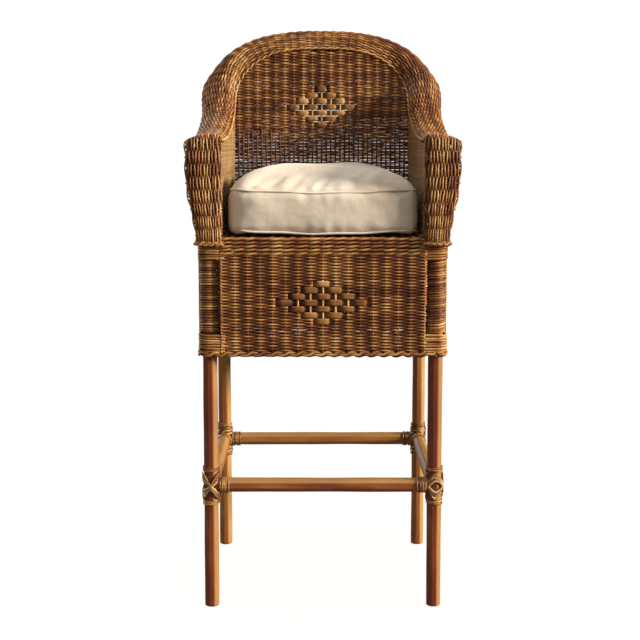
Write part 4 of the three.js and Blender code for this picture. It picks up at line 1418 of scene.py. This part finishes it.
def fold(piece):
    """Moves the cover along its normals: puckers and a groove at the seams, long soft creases
    over the front of the top, sways in the front band, and a fuller band."""
    points = coords(piece.data)
    piece.data.update()
    normals = np.empty(len(points) * 3, np.float32)
    piece.data.vertices.foreach_get("normal", normals)
    normals = normals.reshape(-1, 3).astype(float)
    mm = points / MM
    x, y, z = mm.T
    middle_y = from_middle(mm)
    from_front = middle_y + HALF_D
    top, low = seam_distance(points)
    seam = np.minimum(top, low)
    run = np.where(np.abs(x) / HALF_W > np.abs(middle_y) / HALF_D, y, x)
    pucker = np.sin(run / 5.3 + 1.7 * np.sin(run / 31)) * 0.5 + np.sin(run / 9.1 + 2.0) * 0.6
    move = pucker * np.exp(-((seam - 10) / 12) ** 2) * PUCKER
    move += GROOVE * np.exp(-(seam / 4.5) ** 2)
    for x0, slope, reach, width, depth in FOLDS:
        off = (x - x0 - slope * from_front - 5 * np.sin(from_front / 23 + x0)) / width
        fade = np.exp(-(from_front / reach) ** 2) * smoothstep(top, 2, 14)
        move += depth * np.exp(-off ** 2) * fade * (z > SEAM_HIGH + 1)
    sway = np.sin((x + 0.4 * z) / 14) * 0.6 + np.sin((x - 0.6 * z) / 25 + 1) * 0.8
    move += (sway * (z < SEAM_HIGH) * smoothstep(-from_front, -30, -2)
             * np.exp(-((top - 16) / 22) ** 2))
    move += BAND_BULGE * ((z > SEAM_LOW) & (z < SEAM_HIGH)) * smoothstep(seam, -2, 14)
    move += np.sin(x / 57 + 0.5) * np.sin(y / 63 + 1.1) * LUMP * smoothstep(top, 12, 60)
    set_coords(piece.data, points + normals * (move * MM)[:, None])


fold(cushion)
add_modifier(cushion, "SUBSURF", levels=1, render_levels=1)
apply_all(cushion)
set_smooth(cushion.data)
cushion.data.materials.clear()
cushion.data.materials.append(cover)
settle(cushion, "cushion", ["cushion"])

for name, height in (("cushion_top_piping", SEAM_HIGH), ("cushion_bottom_piping", SEAM_LOW)):
    points, outward = seam_line(height, -1.2)
    closed = np.vstack([points, points[:1]])
    piping = Strands(10)
    piping.add(closed, np.vstack([outward, outward[:1]]), 2.4, None, 0.5, 0.0)
    piece = piping.build(name + "_cord", cover, "cushion", "cushion_cover", [name])


# ---- Finishes for the nodes that stay as the part has them ----
for name, node in frame["nodes"].items():
    if node.hide_render:
        continue
    finish = steel if name.endswith("_screw") else pole
    node.data.materials.clear()
    node.data.materials.append(finish)


# ---- Floor, light and camera ----
def backdrop():
    """A pale floor that curves up into a wall all round, seen by the camera only."""
    mesh = bpy.data.meshes.new("backdrop")
    floor_r, bend_r, wall_top, under = 7.0, 2.0, 12.0, 0.0005
    profile = [(0.5, 0.0), (floor_r / 2, 0.0), (floor_r, 0.0)]
    profile += [(floor_r + bend_r * math.sin(a), bend_r - bend_r * math.cos(a))
                for a in np.linspace(0.1, math.pi / 2, 12)]
    profile.append((floor_r + bend_r, wall_top))
    turns = 64
    verts = [(0.0, 0.0, -under)]
    for r, z in profile:
        verts += [(r * math.cos(TAU * k / turns), r * math.sin(TAU * k / turns), z - under)
                  for k in range(turns)]
    faces = [(0, 1 + k, 1 + (k + 1) % turns) for k in range(turns)]
    for row in range(len(profile) - 1):
        for k in range(turns):
            a, b = 1 + row * turns + k, 1 + row * turns + (k + 1) % turns
            faces.append((a, a + turns, b + turns, b))
    mesh.from_pydata(verts, [], faces)
    set_smooth(mesh)
    piece = new_object("backdrop", mesh)
    m = Nodes("backdrop_paint")
    place = m.place()
    m.link(m.ramp(m.noise(place, 0.8), [(0.3, (0.86, 0.86, 0.86)), (0.7, (0.90, 0.90, 0.90))]),
           m.shader.inputs["Base Color"])
    m.fixed({"Roughness": 0.9, "Emission Color": (1.0, 1.0, 1.0, 1.0), "Emission Strength": 0.85})
    mesh.materials.append(m.material)
    piece.visible_diffuse = False
    piece.visible_glossy = False
    piece.visible_shadow = False


backdrop()

world = bpy.data.worlds.new("studio")
bpy.context.scene.world = world
world.use_nodes = True
background = world.node_tree.nodes["Background"]
background.inputs["Color"].default_value = (1.0, 0.89, 0.76, 1.0)
background.inputs["Strength"].default_value = 0.26


def sun(name, towards, strength, angle, colour):
    light = bpy.data.lights.new(name, "SUN")
    light.energy = strength
    light.angle = math.radians(angle)
    light.color = colour
    lamp = new_object(name, light)
    lamp.rotation_mode = "QUATERNION"
    lamp.rotation_quaternion = Vector(towards).to_track_quat("Z", "Y")
    return lamp


lamps = (sun("key", (0.945, -0.235, 0.290), 8.4, 14.0, (1.0, 0.90, 0.76)),
         sun("sky", (-0.1, -0.30, 1.0), 1.4, 60.0, (1.0, 0.99, 0.97)),
         sun("fill", (-0.6, 0.72, 0.35), 1.4, 40.0, (1.0, 0.97, 0.92)))
# The lamps light the stool only, so that the backdrop stays even all round.
stool_only = bpy.data.collections.new("lit_pieces")
for piece in bpy.context.scene.objects:
    if piece.type == "MESH" and piece.name != "backdrop":
        stool_only.objects.link(piece)
for lamp in lamps:
    lamp.light_linking.receiver_collection = stool_only

camera_data = bpy.data.cameras.new("camera")
camera_data.sensor_width = 36.0
camera_data.lens = 76.0
camera = new_object("camera", camera_data)
camera.location = (-0.018, -2.9575, 0.945)
camera.rotation_euler = (math.radians(90 - 7.45), 0.0, math.radians(-0.263))
bpy.context.scene.camera = camera
bpy.context.scene.view_settings.view_transform = "Standard"
